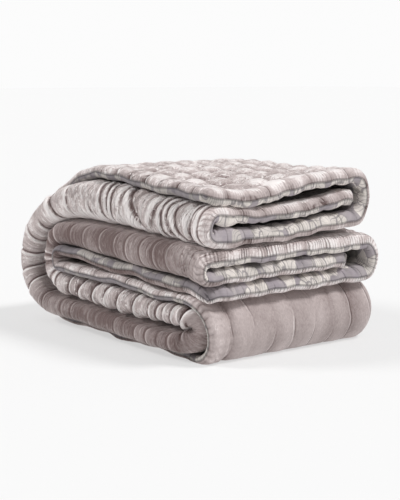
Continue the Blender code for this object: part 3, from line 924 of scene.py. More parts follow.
def reading(tree, name):
    """An attribute's value on the surface."""
    return Value(add_node(tree, "ShaderNodeAttribute", attribute_name=name).outputs["Fac"])


def flat_place(tree):
    """The place in the flat cloth."""
    return add_node(tree, "ShaderNodeUVMap", uv_map="flat_cloth").outputs["UV"]


def stretched(tree, place, scale):
    """Places scaled by three shares, for a pattern longer one way than the other."""
    inputs = {"Vector": place, "Scale": scale}
    return add_node(tree, "ShaderNodeMapping", inputs, vector_type="POINT").outputs[0]


def moved(tree, operation, place, other):
    """A vector with another added or subtracted, or scaled by a number."""
    inputs = {0: place, "Scale" if operation == "SCALE" else 1: other}
    return add_node(tree, "ShaderNodeVectorMath", inputs, operation=operation).outputs[0]


def parts_of(tree, place):
    """A vector's three numbers."""
    return [Value(part) for part in add_node(tree, "ShaderNodeSeparateXYZ", {0: place}).outputs]


def noise(tree, place, scale, detail=2.0, roughness=0.5, distortion=0.0):
    """Soft noise about 0.5, its marks 1 / scale in size."""
    inputs = {"Vector": place, "Scale": scale, "Detail": detail, "Roughness": roughness}
    inputs["Distortion"] = distortion
    return Value(add_node(tree, "ShaderNodeTexNoise", inputs).outputs["Fac"])


def new_group(name, inputs, outputs):
    """An empty node group, its inputs by name and its output node. An input's default tells what it
    is: None a vector, a float a number and a tuple a colour."""
    tree = bpy.data.node_groups.new(name, "ShaderNodeTree")
    for socket, default in inputs.items():
        kind = {type(None): "Vector", float: "Float", tuple: "Color"}[type(default)]
        made = tree.interface.new_socket(socket, in_out="INPUT", socket_type="NodeSocket" + kind)
        if default is not None:
            made.default_value = default
    for socket in outputs:
        kind = "Color" if socket == "Colour" else "Float"
        tree.interface.new_socket(socket, in_out="OUTPUT", socket_type="NodeSocket" + kind)
    given = tree.nodes.new("NodeGroupInput").outputs
    return tree, {socket: Value(given[socket]) for socket in inputs}, tree.nodes.new("NodeGroupOutput")


def use_group(tree, group, inputs):
    """A group's outputs by name."""
    made = tree.nodes.new("ShaderNodeGroup")
    made.node_tree = group
    return {socket.name: Value(socket) for socket in fill(made, inputs).outputs}


def built_once(build):
    """Makes a function that builds a node group build it only the first time, for several materials."""
    built = []

    def group():
        if not built:
            built.append(build())
        return built[0]

    return group


@built_once
def thread_group():
    """A plain weave's height, and slubs along its threads. Thread is the distance between two."""
    inputs = {"Place": None, "Thread": 0.0008}
    tree, given, found = new_group("woven threads", inputs, ("Height", "Slub"))
    turns = [part / given["Thread"] for part in parts_of(tree, given["Place"])[:2]]
    waves = [calculate("SINE", turn * (2 * pi)) for turn in turns]
    slub = noise(tree, stretched(tree, given["Place"], (1.0, 9.0, 1.0)), 90.0, 3.0)
    fill(found, {"Height": waves[0] * waves[1] * 0.5 + 0.5, "Slub": slub})
    return tree


def crushed_pile_group():
    """Where a short pile lies over: broad marks, mottles, crinkles and a fine grain. Each crinkle gets
    a painted highlight and a painted shadow.
    """
    inputs = {"Place": None, "Mark Size": 0.020}
    outputs = ("Tone", "Crinkle", "Grain", "Height")
    tree, given, found = new_group("crushed pile", inputs, outputs)
    place = given["Place"]
    scale = 1.0 / given["Mark Size"]
    broad = noise(tree, place, scale, 3.0, 0.6, 1.0)
    uneven = stretched(tree, place, (0.7, 1.3, 1.0))
    mottle = noise(tree, uneven, scale * 2.6, 3.0, 0.65, 1.2)
    fine = noise(tree, uneven, scale * 7.0, 2.0, 0.6, 0.6)
    tone = broad + (mottle - 0.5) * 0.45 + (fine - 0.5) * 0.30
    # A crinkle runs where this noise crosses 0: a painted highlight on its crest with a painted shadow
    # in the trough beside it.
    crossing = noise(tree, uneven, scale * 1.3, 2.0, 0.5, 0.8) - 0.5
    crest = abs(crossing).mapped(0.026, 0.004)
    trough = abs(crossing - 0.036).mapped(0.026, 0.004)
    crinkle = (crest - trough * 0.6) * broad.mapped(0.42, 0.58)
    grain = noise(tree, place, 430.0, 3.0, 0.7)
    fill(found, {"Tone": tone.mapped(0.25, 0.75), "Crinkle": crinkle, "Grain": grain})
    fill(found, {"Height": tone + crinkle * 0.10})
    return tree


def wrap_line_group():
    """Thin curved lines where velvet wraps round a fold: a painted highlight along each with a painted
    shadow beside it. Band is the distance from the fold's outermost line, and Bow how the lines bend
    there."""
    inputs = {"Place": None, "Band": 0.0, "Bow": 0.0, "Spacing": 0.009}
    tree, given, found = new_group("wrap lines", inputs, ("Line", "Height"))
    band = given["Band"]
    bend = (band * band + band * 0.02) * given["Bow"] * -1.0
    bend = add_node(tree, "ShaderNodeCombineXYZ", {1: bend}).outputs[0]
    place = moved(tree, "ADD", given["Place"], bend)
    along = stretched(tree, place, (0.10, 1.0, 1.0))
    crossing = noise(tree, along, 1.0 / given["Spacing"], 2.0, 0.5, 0.35) - 0.5
    line = abs(crossing).mapped(0.026, 0.004)
    shadow = abs(crossing - 0.040).mapped(0.030, 0.004)
    patches = noise(tree, place, 34.0, 3.0, 0.6).mapped(0.42, 0.56)
    near = abs(band).mapped(0.070, 0.045)
    height = abs(crossing).mapped(0.08, 0.0) * near
    fill(found, {"Line": (line - shadow * 0.7) * (patches * near), "Height": height})
    return tree


@built_once
def gathers_group():
    """Short ripples that the stitches draw up, square to the sewn edges: Line is above 0 on a crest and
    below it in a valley. End and Hem are the distances from the sewn ends and from the long edges."""
    inputs = {"Place": None, "End": 1.0, "Hem": 1.0, "Pitch": 0.01}
    tree, given, found = new_group("gathers", inputs, ("Line",))
    wobble = noise(tree, given["Place"], 20.0, 2.0, 0.4) * 0.028
    uneven = noise(tree, given["Place"], 45.0, 2.0).mapped(0.38, 0.62, 0.10, 1.0)
    lines = []
    for part, edge in zip(parts_of(tree, given["Place"]), ("End", "Hem")):
        ripple = ((part + wobble) / given["Pitch"]).folded() ** 0.55
        lines.append((ripple * 1.46 - 0.55) * given[edge].mapped(0.036, 0.006))
    fill(found, {"Line": (lines[0] + lines[1]) * uneven})
    return tree


def rows_group():
    """Narrow grooves along the rows of stitches, each with a ridge beside it. Across and Along are
    places from the first rows, and Lengthwise and Crosswise how strongly the rows along the strip and
    across it draw in. The stitches pull unevenly."""
    inputs = {"Place": None, "Across": 0.0, "Along": 0.0, "Pitch": 0.048}
    inputs |= {"Lengthwise": 1.0, "Crosswise": 1.0}
    tree, given, found = new_group("rows of stitches", inputs, ("Groove", "Ridge"))
    place = given["Place"]
    pull = noise(tree, place, 26.0, 2.0, 0.6).mapped(0.40, 0.60, 0.05, 1.0)
    shift = (noise(tree, place, 26.0, 2.0, 0.45) - 0.5) * 0.022
    grooves, ridges = [], []
    for axis, share in (("Across", "Lengthwise"), ("Along", "Crosswise")):
        turns = (given[axis] + shift) / given["Pitch"]
        pulled = pull * given[share]
        grooves.append(turns.folded().mapped(0.045, 0.005) * pulled)
        ridges.append((turns + 0.05).folded().mapped(0.045, 0.005) * pulled)
    fill(found, {"Groove": calculate("MAXIMUM", *grooves), "Ridge": calculate("MAXIMUM", *ridges)})
    return tree


def plain_material(name):
    """A material with only its Principled shader, ready for its colours."""
    made = bpy.data.materials.new(name)
    made.use_nodes = True
    return made, made.node_tree, made.node_tree.nodes["Principled BSDF"]


def set_constants(shader, **values):
    """Sets a shader's own sockets, named with _ for each space."""
    fill(shader, {socket.replace("_", " "): value for socket, value in values.items()})


def raise_surface(tree, shader, height, strength):
    """Bumps a material by a height in metres."""
    inputs = {"Strength": strength, "Distance": 1.0, "Height": height}
    fill(shader, {"Normal": add_node(tree, "ShaderNodeBump", inputs).outputs[0]})


def painted_inner_shade(tree):
    """Painted shade deep between the folds, and a painted shadow line in the last half millimetre
    before the seam.
    """
    edge = calculate("MINIMUM", reading(tree, "end"), reading(tree, "hem"))
    open_share = reading(tree, "shut").mapped(0.0, 1.0, 1.0, 0.30)
    return open_share * edge.mapped(0.0001, 0.0005, 0.58, 1.0)


VELVET_READINGS = ("nap", "crush", "band", "ridge", "line", "bow", "cross_pull", "puff", "gathered")
VELVET_READINGS += ("across", "along", "end", "hem")


def velvet_material(sizes):
    """Short pile with painted light and shade: painted pale where it leans to the light, painted dark
    where it leans away, with painted highlights on ridges and painted shade in its creases and deep in
    the folds.
    """
    made, tree, shader = plain_material("crushed velvet")
    place = flat_place(tree)
    read = {name: reading(tree, name) for name in VELVET_READINGS}
    band, end = read["band"], read["end"]
    crush = read["crush"] * end.mapped(0.012, 0.045, 0.35, 1.0)
    crushed = use_group(tree, crushed_pile_group(), {"Place": place, "Mark Size": 0.018})
    bent = {"Place": place, "Band": band, "Bow": read["bow"], "Spacing": 0.0070}
    wrapped = use_group(tree, wrap_line_group(), bent)
    off_fold = abs(band).mapped(0.045, 0.080)
    sewn = {"Place": place, "Across": read["across"], "Along": read["along"], "Pitch": sizes.pitch}
    sewn["Lengthwise"] = off_fold * 0.65
    sewn["Crosswise"] = read["cross_pull"] * off_fold
    rows = use_group(tree, rows_group(), sewn)
    edges = {"Place": place, "End": end, "Hem": read["hem"], "Pitch": 0.0065}
    ripples = use_group(tree, gathers_group(), edges)["Line"]
    gathered = ripples * read["gathered"]

    # A painted highlight in patches on the crest of the rounding beside a sewn end.
    crest = end.mapped(0.006, 0.014) * end.mapped(0.034, 0.020)
    crest = crest * noise(tree, place, 30.0, 2.0).mapped(0.45, 0.62) * (ripples + 0.35)
    inward = end.mapped(0.030, 0.060)
    # The colour starts from the pile's painted light and shade.
    lean = read["nap"].mapped(-1.0, 1.0)
    marks = (
        ((crushed["Tone"] - 0.5) * crush, 0.55),
        # The crinkles' painted highlights and shadows.
        (crushed["Crinkle"] * crush * (crush * inward), 0.75),
        # Painted highlights on the relief's ridges and painted shade in its hollows.
        (read["ridge"].mapped(-1.0, 1.0, -0.50, 0.46), 1.0),
        # Painted highlights on the quilting's puffs and painted shade along its rows.
        (read["puff"], 0.95),
        # Painted highlights on the creases' lips and painted shade in their troughs.
        (read["line"], 1.05),
        # The painted highlight on the rounding beside a sewn end.
        (crest, 1.10),
        # The wrap lines' painted highlights and shadows.
        (wrapped["Line"] * (crush * 0.45 + 0.30), 0.62),
        # Painted highlights on the stitch ripples' crests and painted shade in their valleys.
        (gathered, 0.36),
        # Painted shade in the grooves along the rows of stitches and a painted highlight on the ridge
        # beside each.
        (rows["Groove"], -0.42),
        (rows["Ridge"], 0.60),
        (crushed["Grain"] - 0.5, 0.60),
    )
    for mark, share in marks:
        lean = lean + mark * share
    # The colour blends a painted shaded copy of the velvet into a painted lit one, and where the marks
    # run highest a painted highlight.
    held = add_node(tree, "ShaderNodeClamp", {0: lean}).outputs[0]
    colour = mix_colours(tree, held, sizes.shade, sizes.painted_lit_velvet)
    colour = mix_colours(tree, lean.mapped(0.82, 1.28), colour, sizes.painted_glint)
    # Painted shade deep between the folds and a painted shadow line at the seam.
    colour = mix_colours(tree, 1.0, colour, painted_inner_shade(tree), "MULTIPLY")
    fill(shader, {"Base Color": colour, "Roughness": lean.mapped(0.0, 1.0, 0.75, 0.50)})
    set_constants(
        shader,
        Sheen_Weight=0.50,
        Sheen_Roughness=0.35,
        Sheen_Tint=(0.95, 0.88, 0.86, 1.0),
        Specular_IOR_Level=0.40,
    )
    height = crushed["Height"] * crush * 0.0030
    heights = (
        (wrapped["Height"] * crush, 0.0013),
        (crushed["Grain"], 0.0004),
        (gathered, 0.0012),
        (rows["Groove"], -0.0016),
        (rows["Ridge"], 0.0008),
        (read["line"], 0.0006),
    )
    for mark, share in heights:
        height = height + mark * share
    raise_surface(tree, shader, height, 1.0)
    return made


def scattered(tree, place, size, shift, randomness):
    """Cells scattered about size apart: places from each cell's middle, as shares of size, and the
    cell's chance values."""
    start = moved(tree, "SCALE", moved(tree, "ADD", place, shift), 1.0 / size)
    inputs = {"Vector": start, "Scale": 1.0, "Randomness": randomness}
    cells = add_node(tree, "ShaderNodeTexVoronoi", inputs, voronoi_dimensions="2D")
    chance = add_node(tree, "ShaderNodeSeparateColor", {0: cells.outputs["Color"]})
    offset = moved(tree, "SUBTRACT", start, cells.outputs["Position"])
    return offset, [Value(part) for part in chance.outputs]


def petal_layer(tree, place, size, seed, breadth):
    """One scatter of petals, each turned by chance. Gives where they are, their veins, and a chance
    value for each. size is the distance between two and breadth how wide they are, as a share."""
    offset, chance = scattered(tree, place, size, (seed, 0.7 * seed, 0.0), 0.8)
    inputs = {"Vector": offset, "Angle": chance[0] * (2 * pi)}
    turned = add_node(tree, "ShaderNodeVectorRotate", inputs, rotation_type="Z_AXIS")
    length, width, _ = parts_of(tree, turned.outputs[0])
    # A petal is broad at its tip and narrow at its base: the veins fan out from the base.
    from_base = length + 0.42
    angle = calculate("ARCTAN2", width, from_base)
    reach = calculate("SQRT", from_base * from_base + width * width)
    frill = calculate("SINE", angle * 14.0) * 0.025
    inside = (reach + frill).mapped(0.83, 0.80) * abs(angle).mapped(breadth, breadth * 0.94)
    veins = (angle * 8.5).folded().mapped(0.16, 0.02) * reach.mapped(0.15, 0.45)
    return inside, veins, chance[1]


PETALS = 7  # outer petals of a flower


def flower_layer(tree, place, size, seed):
    """One scatter of open flowers, each turned by chance. Gives where they are, their drawn lines, and
    a chance value for each."""
    offset, chance = scattered(tree, place, size, (seed, 0.6 * seed, 0.0), 0.55)
    reach = add_node(tree, "ShaderNodeVectorMath", {0: offset}, operation="LENGTH")
    reach = Value(reach.outputs["Value"])
    x, y, _ = parts_of(tree, offset)
    petals = (chance[0] * (2 * pi) + calculate("ARCTAN2", y, x)) * (PETALS / (2 * pi))
    # How far past the outer petals' rims, then past those of shorter ones that stand between them.
    past = []
    for root, length, turn in ((0.33, 0.15, 0.0), (0.15, 0.09, 0.5)):
        rounding = ((petals + turn).folded() * 2.0) ** 0.5
        past.append(reach - (rounding * length + root))
    veins = (petals * 5.0).folded().mapped(0.16, 0.03) * reach.mapped(0.08, 0.22)
    between = (petals.folded() * 2.0).mapped(0.16, 0.04)
    drawn = abs(past[0]).mapped(0.026, 0.008)
    for line in (abs(past[1]).mapped(0.026, 0.008), between, veins * 0.6):
        drawn = calculate("MAXIMUM", drawn, line)
    return past[0].mapped(0.008, -0.008), drawn, chance[1]


def leaf_print_group():
    """A scattered print of veined flowers and leaves on a plain ground, as a colour."""
    inputs = {"Place": None, "Ground": (0.3, 0.3, 0.34, 1.0)}
    inputs |= {"Petal": (0.62, 0.60, 0.52, 1.0), "Leaf": (0.36, 0.38, 0.32, 1.0)}
    tree, given, found = new_group("leaf print", inputs, ("Colour",))
    ground = given["Ground"]
    bend = {"Vector": given["Place"], "Scale": 24.0, "Detail": 1.0}
    bend = add_node(tree, "ShaderNodeTexNoise", bend).outputs["Color"]
    bend = moved(tree, "SCALE", moved(tree, "SUBTRACT", bend, (0.5, 0.5, 0.5)), 0.022)
    place = moved(tree, "ADD", given["Place"], bend)
    patchy = noise(tree, place, 55.0, 3.0, 0.6)
    colour = mix_colours(tree, patchy.mapped(0.35, 0.7, 0.0, 0.30), ground, given["Leaf"])
    ink = mix_colours(tree, 0.50, (0.085, 0.080, 0.085, 1.0), ground)
    # Each scatter's tint, and the share of it that is left out.
    scatters = (
        (petal_layer(tree, place, 0.052, 3.43, 0.34), "Leaf", 0.65),
        (petal_layer(tree, place, 0.070, 0.31, 0.50), "Petal", 0.45),
        (flower_layer(tree, place, 0.092, 1.27), "Petal", 0.88),
    )
    for (inside, lines, chance), tint, kept_share in scatters:
        kept = chance.mapped(kept_share, kept_share - 0.02)
        shade = mix_colours(tree, patchy.mapped(0.3, 0.7, 0.0, 0.25), given[tint], ground)
        shade = mix_colours(tree, lines * 0.72, shade, ink)
        colour = mix_colours(tree, inside * kept, colour, shade)
    fill(found, {"Colour": colour})
    return tree


def print_material(sizes):
    """Printed plain cotton: matte, with its weave and slubs, and painted shade in its pleats, in its
    gathers' valleys, deep between the folds and along its long edges.
    """
    made, tree, shader = plain_material("leaf printed cotton")
    place = flat_place(tree)
    colours = {"Ground": sizes.ground, "Petal": sizes.petal, "Leaf": sizes.leaf}
    pattern = use_group(tree, leaf_print_group(), {"Place": place, **colours})["Colour"]
    woven = use_group(tree, thread_group(), {"Place": place, "Thread": 0.0008})
    edges = {"Place": place, "End": reading(tree, "end"), "Hem": reading(tree, "hem")}
    drawn = use_group(tree, gathers_group(), {**edges, "Pitch": 0.019})["Line"]
    # Painted shade in the print's pleats.
    painted_pleat_shade = reading(tree, "ridge").mapped(-0.9, 0.4, 0.50, 1.10)
    # Painted shade in the valleys of the stitch ripples.
    valley = drawn.mapped(-0.5, -0.10, 0.42, 1.04)
    # The slubs' own tone, times painted shade in the pleats, the gathers' valleys, deep between the
    # folds and at the seam.
    shade = woven["Slub"].mapped(0.3, 0.7, 0.93, 1.05) * (painted_pleat_shade * valley) * painted_inner_shade(tree)
    # Painted shade on the print along its long sewn edges.
    shade = shade * edges["Hem"].mapped(0.010, 0.045, 0.68, 1.0)
    colour = mix_colours(tree, 1.0, pattern, shade, "MULTIPLY")
    fill(shader, {"Base Color": colour, "Roughness": woven["Slub"].mapped(0.3, 0.7, 0.82, 0.92)})
    set_constants(shader, Sheen_Weight=0.15, Sheen_Roughness=0.5, Specular_IOR_Level=0.25)
    wrinkle = noise(tree, place, 70.0, 4.0, 0.6, 0.8)
    height = woven["Height"] * 0.00006 + wrinkle * 0.0014 + drawn * 0.0016
    raise_surface(tree, shader, height, 0.9)
    return made


def thread_material(sizes):
    """Sewing thread with slubs in it."""
    made, tree, shader = plain_material("sewing thread")
    place = add_node(tree, "ShaderNodeTexCoord").outputs["Object"]
    twist = use_group(tree, thread_group(), {"Place": place, "Thread": 0.0006})
    shade = twist["Slub"].mapped(0.3, 0.7, 0.85, 1.1)
    fill(shader, {"Base Color": mix_colours(tree, 1.0, sizes.thread, shade, "MULTIPLY")})
    set_constants(shader, Roughness=0.6, Sheen_Weight=0.2)
    return made


# ---- Stitches ---------------------------------------------------------------------------------


def stitches_tree():
    """Lays short stitches along a line: Pitch apart, each Length long and Thickness through."""
    tree = bpy.data.node_groups.new("running stitches", "GeometryNodeTree")
    sockets = {}
    for name, kind, value in (
        ("Line", "NodeSocketGeometry", None),
        ("Pitch", "NodeSocketFloat", 0.006),
        ("Length", "NodeSocketFloat", 0.0042),
        ("Thickness", "NodeSocketFloat", 0.0009),
        ("Thread", "NodeSocketMaterial", None),
    ):
        made = tree.interface.new_socket(name, in_out="INPUT", socket_type=kind)
        if value is not None:
            made.default_value = value
        sockets[name] = made.identifier
    tree.interface.new_socket("Stitches", in_out="OUTPUT", socket_type="NodeSocketGeometry")
    given, found = tree.nodes.new("NodeGroupInput"), tree.nodes.new("NodeGroupOutput")
    out = given.outputs
    curve = add_node(tree, "GeometryNodeMeshToCurve", {0: out["Line"]}).outputs[0]
    spread = {"Curve": curve, "Length": out["Pitch"]}
    places = add_node(tree, "GeometryNodeCurveToPoints", spread, mode="LENGTH").outputs
    ball = add_node(tree, "GeometryNodeMeshUVSphere", {"Segments": 6, "Rings": 4, "Radius": 0.5})
    sides = {0: out["Thickness"], 1: out["Thickness"], 2: out["Length"]}
    size = add_node(tree, "ShaderNodeCombineXYZ", sides).outputs[0]
    stitch = {"Geometry": ball.outputs[0], "Scale": size}
    stitch = add_node(tree, "GeometryNodeTransform", stitch).outputs[0]
    laid = {"Points": places["Points"], "Instance": stitch, "Rotation": places["Rotation"]}
    stand = add_node(tree, "GeometryNodeInstanceOnPoints", laid)
    real = add_node(tree, "GeometryNodeRealizeInstances", {0: stand.outputs[0]}).outputs[0]
    smooth = add_node(tree, "GeometryNodeSetShadeSmooth", {0: real}).outputs[0]
    finished = add_node(tree, "GeometryNodeSetMaterial", {0: smooth, "Material": out["Thread"]})
    tree.links.new(finished.outputs[0], found.inputs[0])
    return tree, sockets


def border_line(fold, face):
    """Points on a face at the border's distance from all four sewn edges, in order round it."""
    last_row = int(np.searchsorted(fold.along[:, 0], fold.length - BORDER))
    first_row = int(np.searchsorted(fold.along[:, 0], BORDER))
    rows = np.arange(first_row, last_row + 1)
    columns = np.arange(fold.y.shape[1])

    def across_at(row, distance):
        return np.array([np.interp(distance, fold.across[row], face[row, :, k]) for k in range(3)])

    near_side = [across_at(row, BORDER) for row in rows]
    far_side = [across_at(row, fold.across[row, -1] - BORDER) for row in rows[::-1]]
    ends = []
    for row in (rows[-1], rows[0]):
        inside = (fold.across[row] > BORDER) & (fold.across[row] < fold.across[row, -1] - BORDER)
        ends.append(face[row, columns[inside]])
    return np.array(near_side + list(ends[0]) + far_side + list(ends[1][::-1]))


# ---- Operators --------------------------------------------------------------------------------


def length_setting(name, description, default, low, high):
    """A length in metres, between two limits."""
    limits = {"default": default, "min": low, "max": high}
    return bpy.props.FloatProperty(name=name, description=description, unit="LENGTH", **limits)


def colour_setting(name, description, *colour):
    """An opaque colour."""
    kind = {"default": (*colour, 1.0), "size": 4, "subtype": "COLOR"}
    return bpy.props.FloatVectorProperty(name=name, description=description, **kind)


class QuiltSizes(bpy.types.PropertyGroup):
    """Sizes and colours of the folded quilt."""

    pitch: length_setting(
        "Quilting Pitch", "Distance between two rows of quilting", 0.048, 0.02, 0.12
    )
    crease_spacing: length_setting(
        "Crease Spacing",
        "Mean distance between the fine creases round the near fold",
        *(0.0105, 0.004, 0.05),
    )
    stitch_pitch: length_setting(
        "Stitch Pitch", "Distance from one border stitch to the next", 0.006, 0.003, 0.02
    )
    # Pale Velvet and Dark Velvet are a painted lit copy and a painted shaded copy of the velvet.
    painted_lit_velvet: colour_setting(
        "Pale Velvet", "The velvet where its pile leans to the light", 0.68, 0.588, 0.575
    )
    shade: colour_setting(
        "Dark Velvet", "The velvet where its pile leans away", 0.150, 0.100, 0.094
    )
    # A painted highlight on the velvet's palest ridges.
    painted_glint: colour_setting(
        "Glinting Velvet", "The velvet on sharp ridges, where its pile fans open", 0.95, 0.895, 0.88
    )
    ground: colour_setting("Print Ground", "The ground of the printed cotton", 0.350, 0.310, 0.335)
    petal: colour_setting("Petals", "The pale petals of the print", 0.76, 0.705, 0.655)
    leaf: colour_setting("Leaves", "The darker leaves of the print", 0.54, 0.50, 0.47)
    thread: colour_setting("Thread", "The thread of the border stitches", 0.46, 0.39, 0.37)


made_faces = {}


def quilt_fold():
    """The fold, its half thickness and where it settles, worked out once."""
    if not made_faces:
        fold = Fold()
        made_faces["fold"] = fold
        made_faces["half"] = half_thickness(fold, bpy.context.scene.quilt_sizes.pitch)
        made_faces["settled"] = fold.settle()
    return made_faces["fold"], made_faces["half"], made_faces["settled"]


def laid_down(points, settled):
    """Points moved to where the quilt lies, and pressed flat where they would pass the floor."""
    placed = points - settled
    placed[..., 2] = np.maximum(placed[..., 2], 0.0)
    return placed


class QUILT_OT_velvet(bpy.types.Operator):
    """Makes the velvet front with its half of the filling"""

    bl_idname = "quilt.velvet"
    bl_label = "Velvet Front"

    def execute(self, context):
        sizes = context.scene.quilt_sizes
        fold, half, settled = quilt_fold()
        relief, lines = velvet_relief(fold, sizes.crease_spacing)
        face = press_levels(fold, laid_down(fold.points(half + relief), settled))
        seam = laid_down(fold.points(SEAM_GAP / 2), settled)
        across, along = from_rows(fold)
        panels = eased((np.abs(fold.band) - 0.045) / 0.03)
        # lean and the panel share are the pile's painted light and shade; crush and bow are how it is
        # crushed and how its wrap lines bend.
        lean, panel_painted_light, crush, bow = nap_and_painted_light_at(fold)
        pulls = table_at(QUILTING, fold.at)
        readings = {
            # The pile's painted light and shade.
            "nap": lean + panel_painted_light * panels,
            "crush": crush,
            "band": fold.band,
            # Painted highlights on ridges and painted shade in hollows, from the relief.
            "ridge": np.clip(relief / VELVET_RIDGE, -1, 1),
            # Lines of painted highlight and shade along the creases.
            "line": lines,
            "bow": bow,
            # Painted shade deep inside the folds.
            "shut": velvet_painted_shade(fold, panels),
            "cross_pull": pulls.cross / 0.5,
            # Painted highlights and shade of the quilting's puffs.
            "puff": quilting_puff(fold, sizes.pitch) * panels,
            "gathered": np.interp(fold.at, *zip(*GATHERED))[:, None],
            "across": across,
            "along": along,
            "end": fold.end,
            "hem": fold.hem,
        }
        made = panel("quilt_velvet", fold, face, seam, velvet_levels(fold), 1, readings)
        made.data.materials.append(velvet_material(sizes))
        made_faces["face"] = face
        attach(made, "root")
        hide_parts("velvet_front")
        return {"FINISHED"}


class QUILT_OT_print(bpy.types.Operator):
    """Makes the printed cotton back with its half of the filling"""

    bl_idname = "quilt.print"
    bl_label = "Printed Back"

    def execute(self, context):
        sizes = context.scene.quilt_sizes
        fold, half, settled = quilt_fold()
        half = half * (1 - PRINT_PINCH * bell(fold.band - PINCH_MIDDLE, PINCH_WIDTH))
        relief = print_relief(fold)
        face = laid_down(fold.points(-half - relief), settled)
        seam = laid_down(fold.points(-SEAM_GAP / 2), settled)
        readings = {"ridge": np.clip(relief / PRINT_RIDGE, -1, 1), "end": fold.end, "hem": fold.hem}
        # Painted shade deep between the folds, away from the sewn edges.
        readings["shut"] = eased((np.minimum(fold.hem, fold.end) - 0.018) / 0.05)
        made = panel("quilt_print", fold, face, seam, print_levels(), -1, readings)
        made.data.materials.append(print_material(sizes))
        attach(made, "root")
        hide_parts("printed_back")
        return {"FINISHED"}


class QUILT_OT_stitches(bpy.types.Operator):
    """Sews the border's stitches along the velvet"""

    bl_idname = "quilt.stitches"
    bl_label = "Border Stitches"

    def execute(self, context):
        sizes = context.scene.quilt_sizes
        if "face" not in made_faces:
            raise RuntimeError("the velvet front comes before its stitches")
        path = border_line(made_faces["fold"], made_faces["face"])
        line = bpy.data.meshes.new("border_line")
        count = len(path)
        line.from_pydata(path.tolist(), [(k, (k + 1) % count) for k in range(count)], [])
        carrier = bpy.data.objects.new("border_line", line)
        context.scene.collection.objects.link(carrier)
        tree, sockets = stitches_tree()
        modifier = carrier.modifiers.new("stitches", "NODES")
        modifier.node_group = tree
        modifier[sockets["Pitch"]] = sizes.stitch_pitch
        modifier[sockets["Thread"]] = thread_material(sizes)
        evaluated = carrier.evaluated_get(context.evaluated_depsgraph_get())
        sewn = bpy.data.meshes.new_from_object(evaluated)
        if not sewn.polygons:
            raise RuntimeError("the border has no stitches")
        carrier.modifiers.remove(modifier)
        bpy.data.objects.remove(carrier)
        made = bpy.data.objects.new("border_stitches", sewn)
        context.scene.collection.objects.link(made)
        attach(made, "root")
        return {"FINISHED"}


AZIMUTH = radians(51.56)
ELEVATION = radians(8.14)
DISTANCE = 2.331
TARGET = Vector((0.0314, 0.0096, 0.1537))
LENS = 85.82  # in millimetres, for a sensor 36 mm wide
FLOOR_REACH = 60.0
FLOOR_CORNERS = ((-1, -1), (1, -1), (1, 1), (-1, 1))
FLOOR_DROP = 0.0004  # the floor lies this far under the quilt
FLOOR_GREY = 0.36
FLOOR_GLOW = 0.525  # a light of its own keeps the floor pale in the quilt's shadow
BACKDROP = 0.972  # how bright the backdrop looks
FILL = 0.38  # how strongly it lights the quilt from all round


def from_direction(azimuth, elevation, distance):
    """A place at a distance in a direction: 0 is -Y, and azimuth turns towards +X."""
    flat = cos(elevation) * distance
    return Vector((sin(azimuth) * flat, -cos(azimuth) * flat, sin(elevation) * distance))


def add_sun(name, azimuth, elevation, softness, power):
    """A soft distant light. Softness is its angle across, in degrees."""
    light = bpy.data.lights.new(name, "SUN")
    light.angle = radians(softness)
    light.energy = power
    made = bpy.data.objects.new(name, light)
    direction = from_direction(radians(azimuth), radians(elevation), 3.0)
    made.location = TARGET + direction
    made.rotation_euler = direction.to_track_quat("Z", "Y").to_euler()
    bpy.context.scene.collection.objects.link(made)


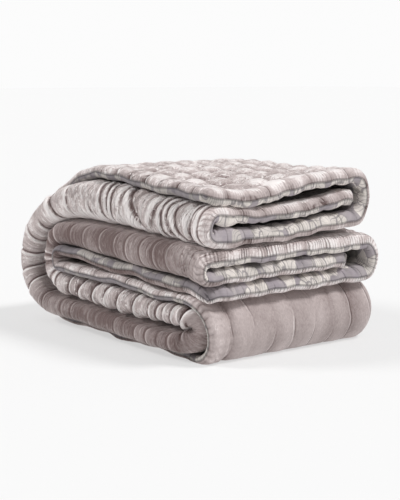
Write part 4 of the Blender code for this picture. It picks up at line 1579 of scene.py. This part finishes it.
class QUILT_OT_studio(bpy.types.Operator):
    """Makes the floor, the soft lights and the camera"""

    bl_idname = "quilt.studio"
    bl_label = "Studio"

    def execute(self, context):
        scene = context.scene
        floor = bpy.data.meshes.new("studio_floor")
        corners = [(x * FLOOR_REACH, y * FLOOR_REACH, 0) for x, y in FLOOR_CORNERS]
        floor.from_pydata(corners, [], [(0, 1, 2, 3)])
        made, _, shader = plain_material("pale floor")
        set_constants(
            shader,
            Base_Color=(FLOOR_GREY, FLOOR_GREY, FLOOR_GREY, 1.0),
            Roughness=0.9,
            Specular_IOR_Level=0.1,
            Emission_Color=(1.0, 1.0, 1.0, 1.0),
            Emission_Strength=FLOOR_GLOW,
        )
        floor.materials.append(made)
        ground = bpy.data.objects.new("studio_floor", floor)
        ground.location.z = -FLOOR_DROP
        scene.collection.objects.link(ground)

        world = bpy.data.worlds.new("studio")
        world.use_nodes = True
        tree = world.node_tree
        seen = Value(add_node(tree, "ShaderNodeLightPath").outputs["Is Camera Ray"])
        glow = {"Strength": seen * (BACKDROP - FILL) + FILL, "Color": (1.0, 1.0, 1.0, 1.0)}
        fill(tree.nodes["Background"], glow)
        scene.world = world
        add_sun("over_light", 128, 54, 16, 2.02)
        add_sun("left_light", -35, 42, 16, 1.38)
        lens = bpy.data.cameras.new("camera")
        lens.lens = LENS
        lens.sensor_width = 36.0
        lens.sensor_fit = "AUTO"
        camera = bpy.data.objects.new("camera", lens)
        camera.location = TARGET + from_direction(AZIMUTH, ELEVATION, DISTANCE)
        camera.rotation_euler = (camera.location - TARGET).to_track_quat("Z", "Y").to_euler()
        scene.collection.objects.link(camera)
        scene.camera = camera
        scene.view_settings.view_transform = "Standard"
        return {"FINISHED"}


class QUILT_PT_panel(bpy.types.Panel):
    """Lists the quilt's sizes and the steps that make it"""

    bl_idname = "QUILT_PT_panel"
    bl_label = "Folded Velvet Quilt"
    bl_space_type = "VIEW_3D"
    bl_region_type = "UI"
    bl_category = "Quilt"

    def draw(self, context):
        sizes = context.scene.quilt_sizes
        for name in QuiltSizes.__annotations__:
            self.layout.prop(sizes, name)
        for step in STEPS:
            self.layout.operator(step.bl_idname)


STEPS = (QUILT_OT_velvet, QUILT_OT_print, QUILT_OT_stitches, QUILT_OT_studio)


def register():
    for part in (QuiltSizes, *STEPS, QUILT_PT_panel):
        bpy.utils.register_class(part)
    bpy.types.Scene.quilt_sizes = bpy.props.PointerProperty(type=QuiltSizes)


def unregister():
    del bpy.types.Scene.quilt_sizes
    for part in (QUILT_PT_panel, *reversed(STEPS), QuiltSizes):
        bpy.utils.unregister_class(part)


def main():
    register()
    bpy.ops.quilt.velvet()
    bpy.ops.quilt.print()
    bpy.ops.quilt.stitches()
    bpy.ops.quilt.studio()


if __name__ == "__main__":
    main()
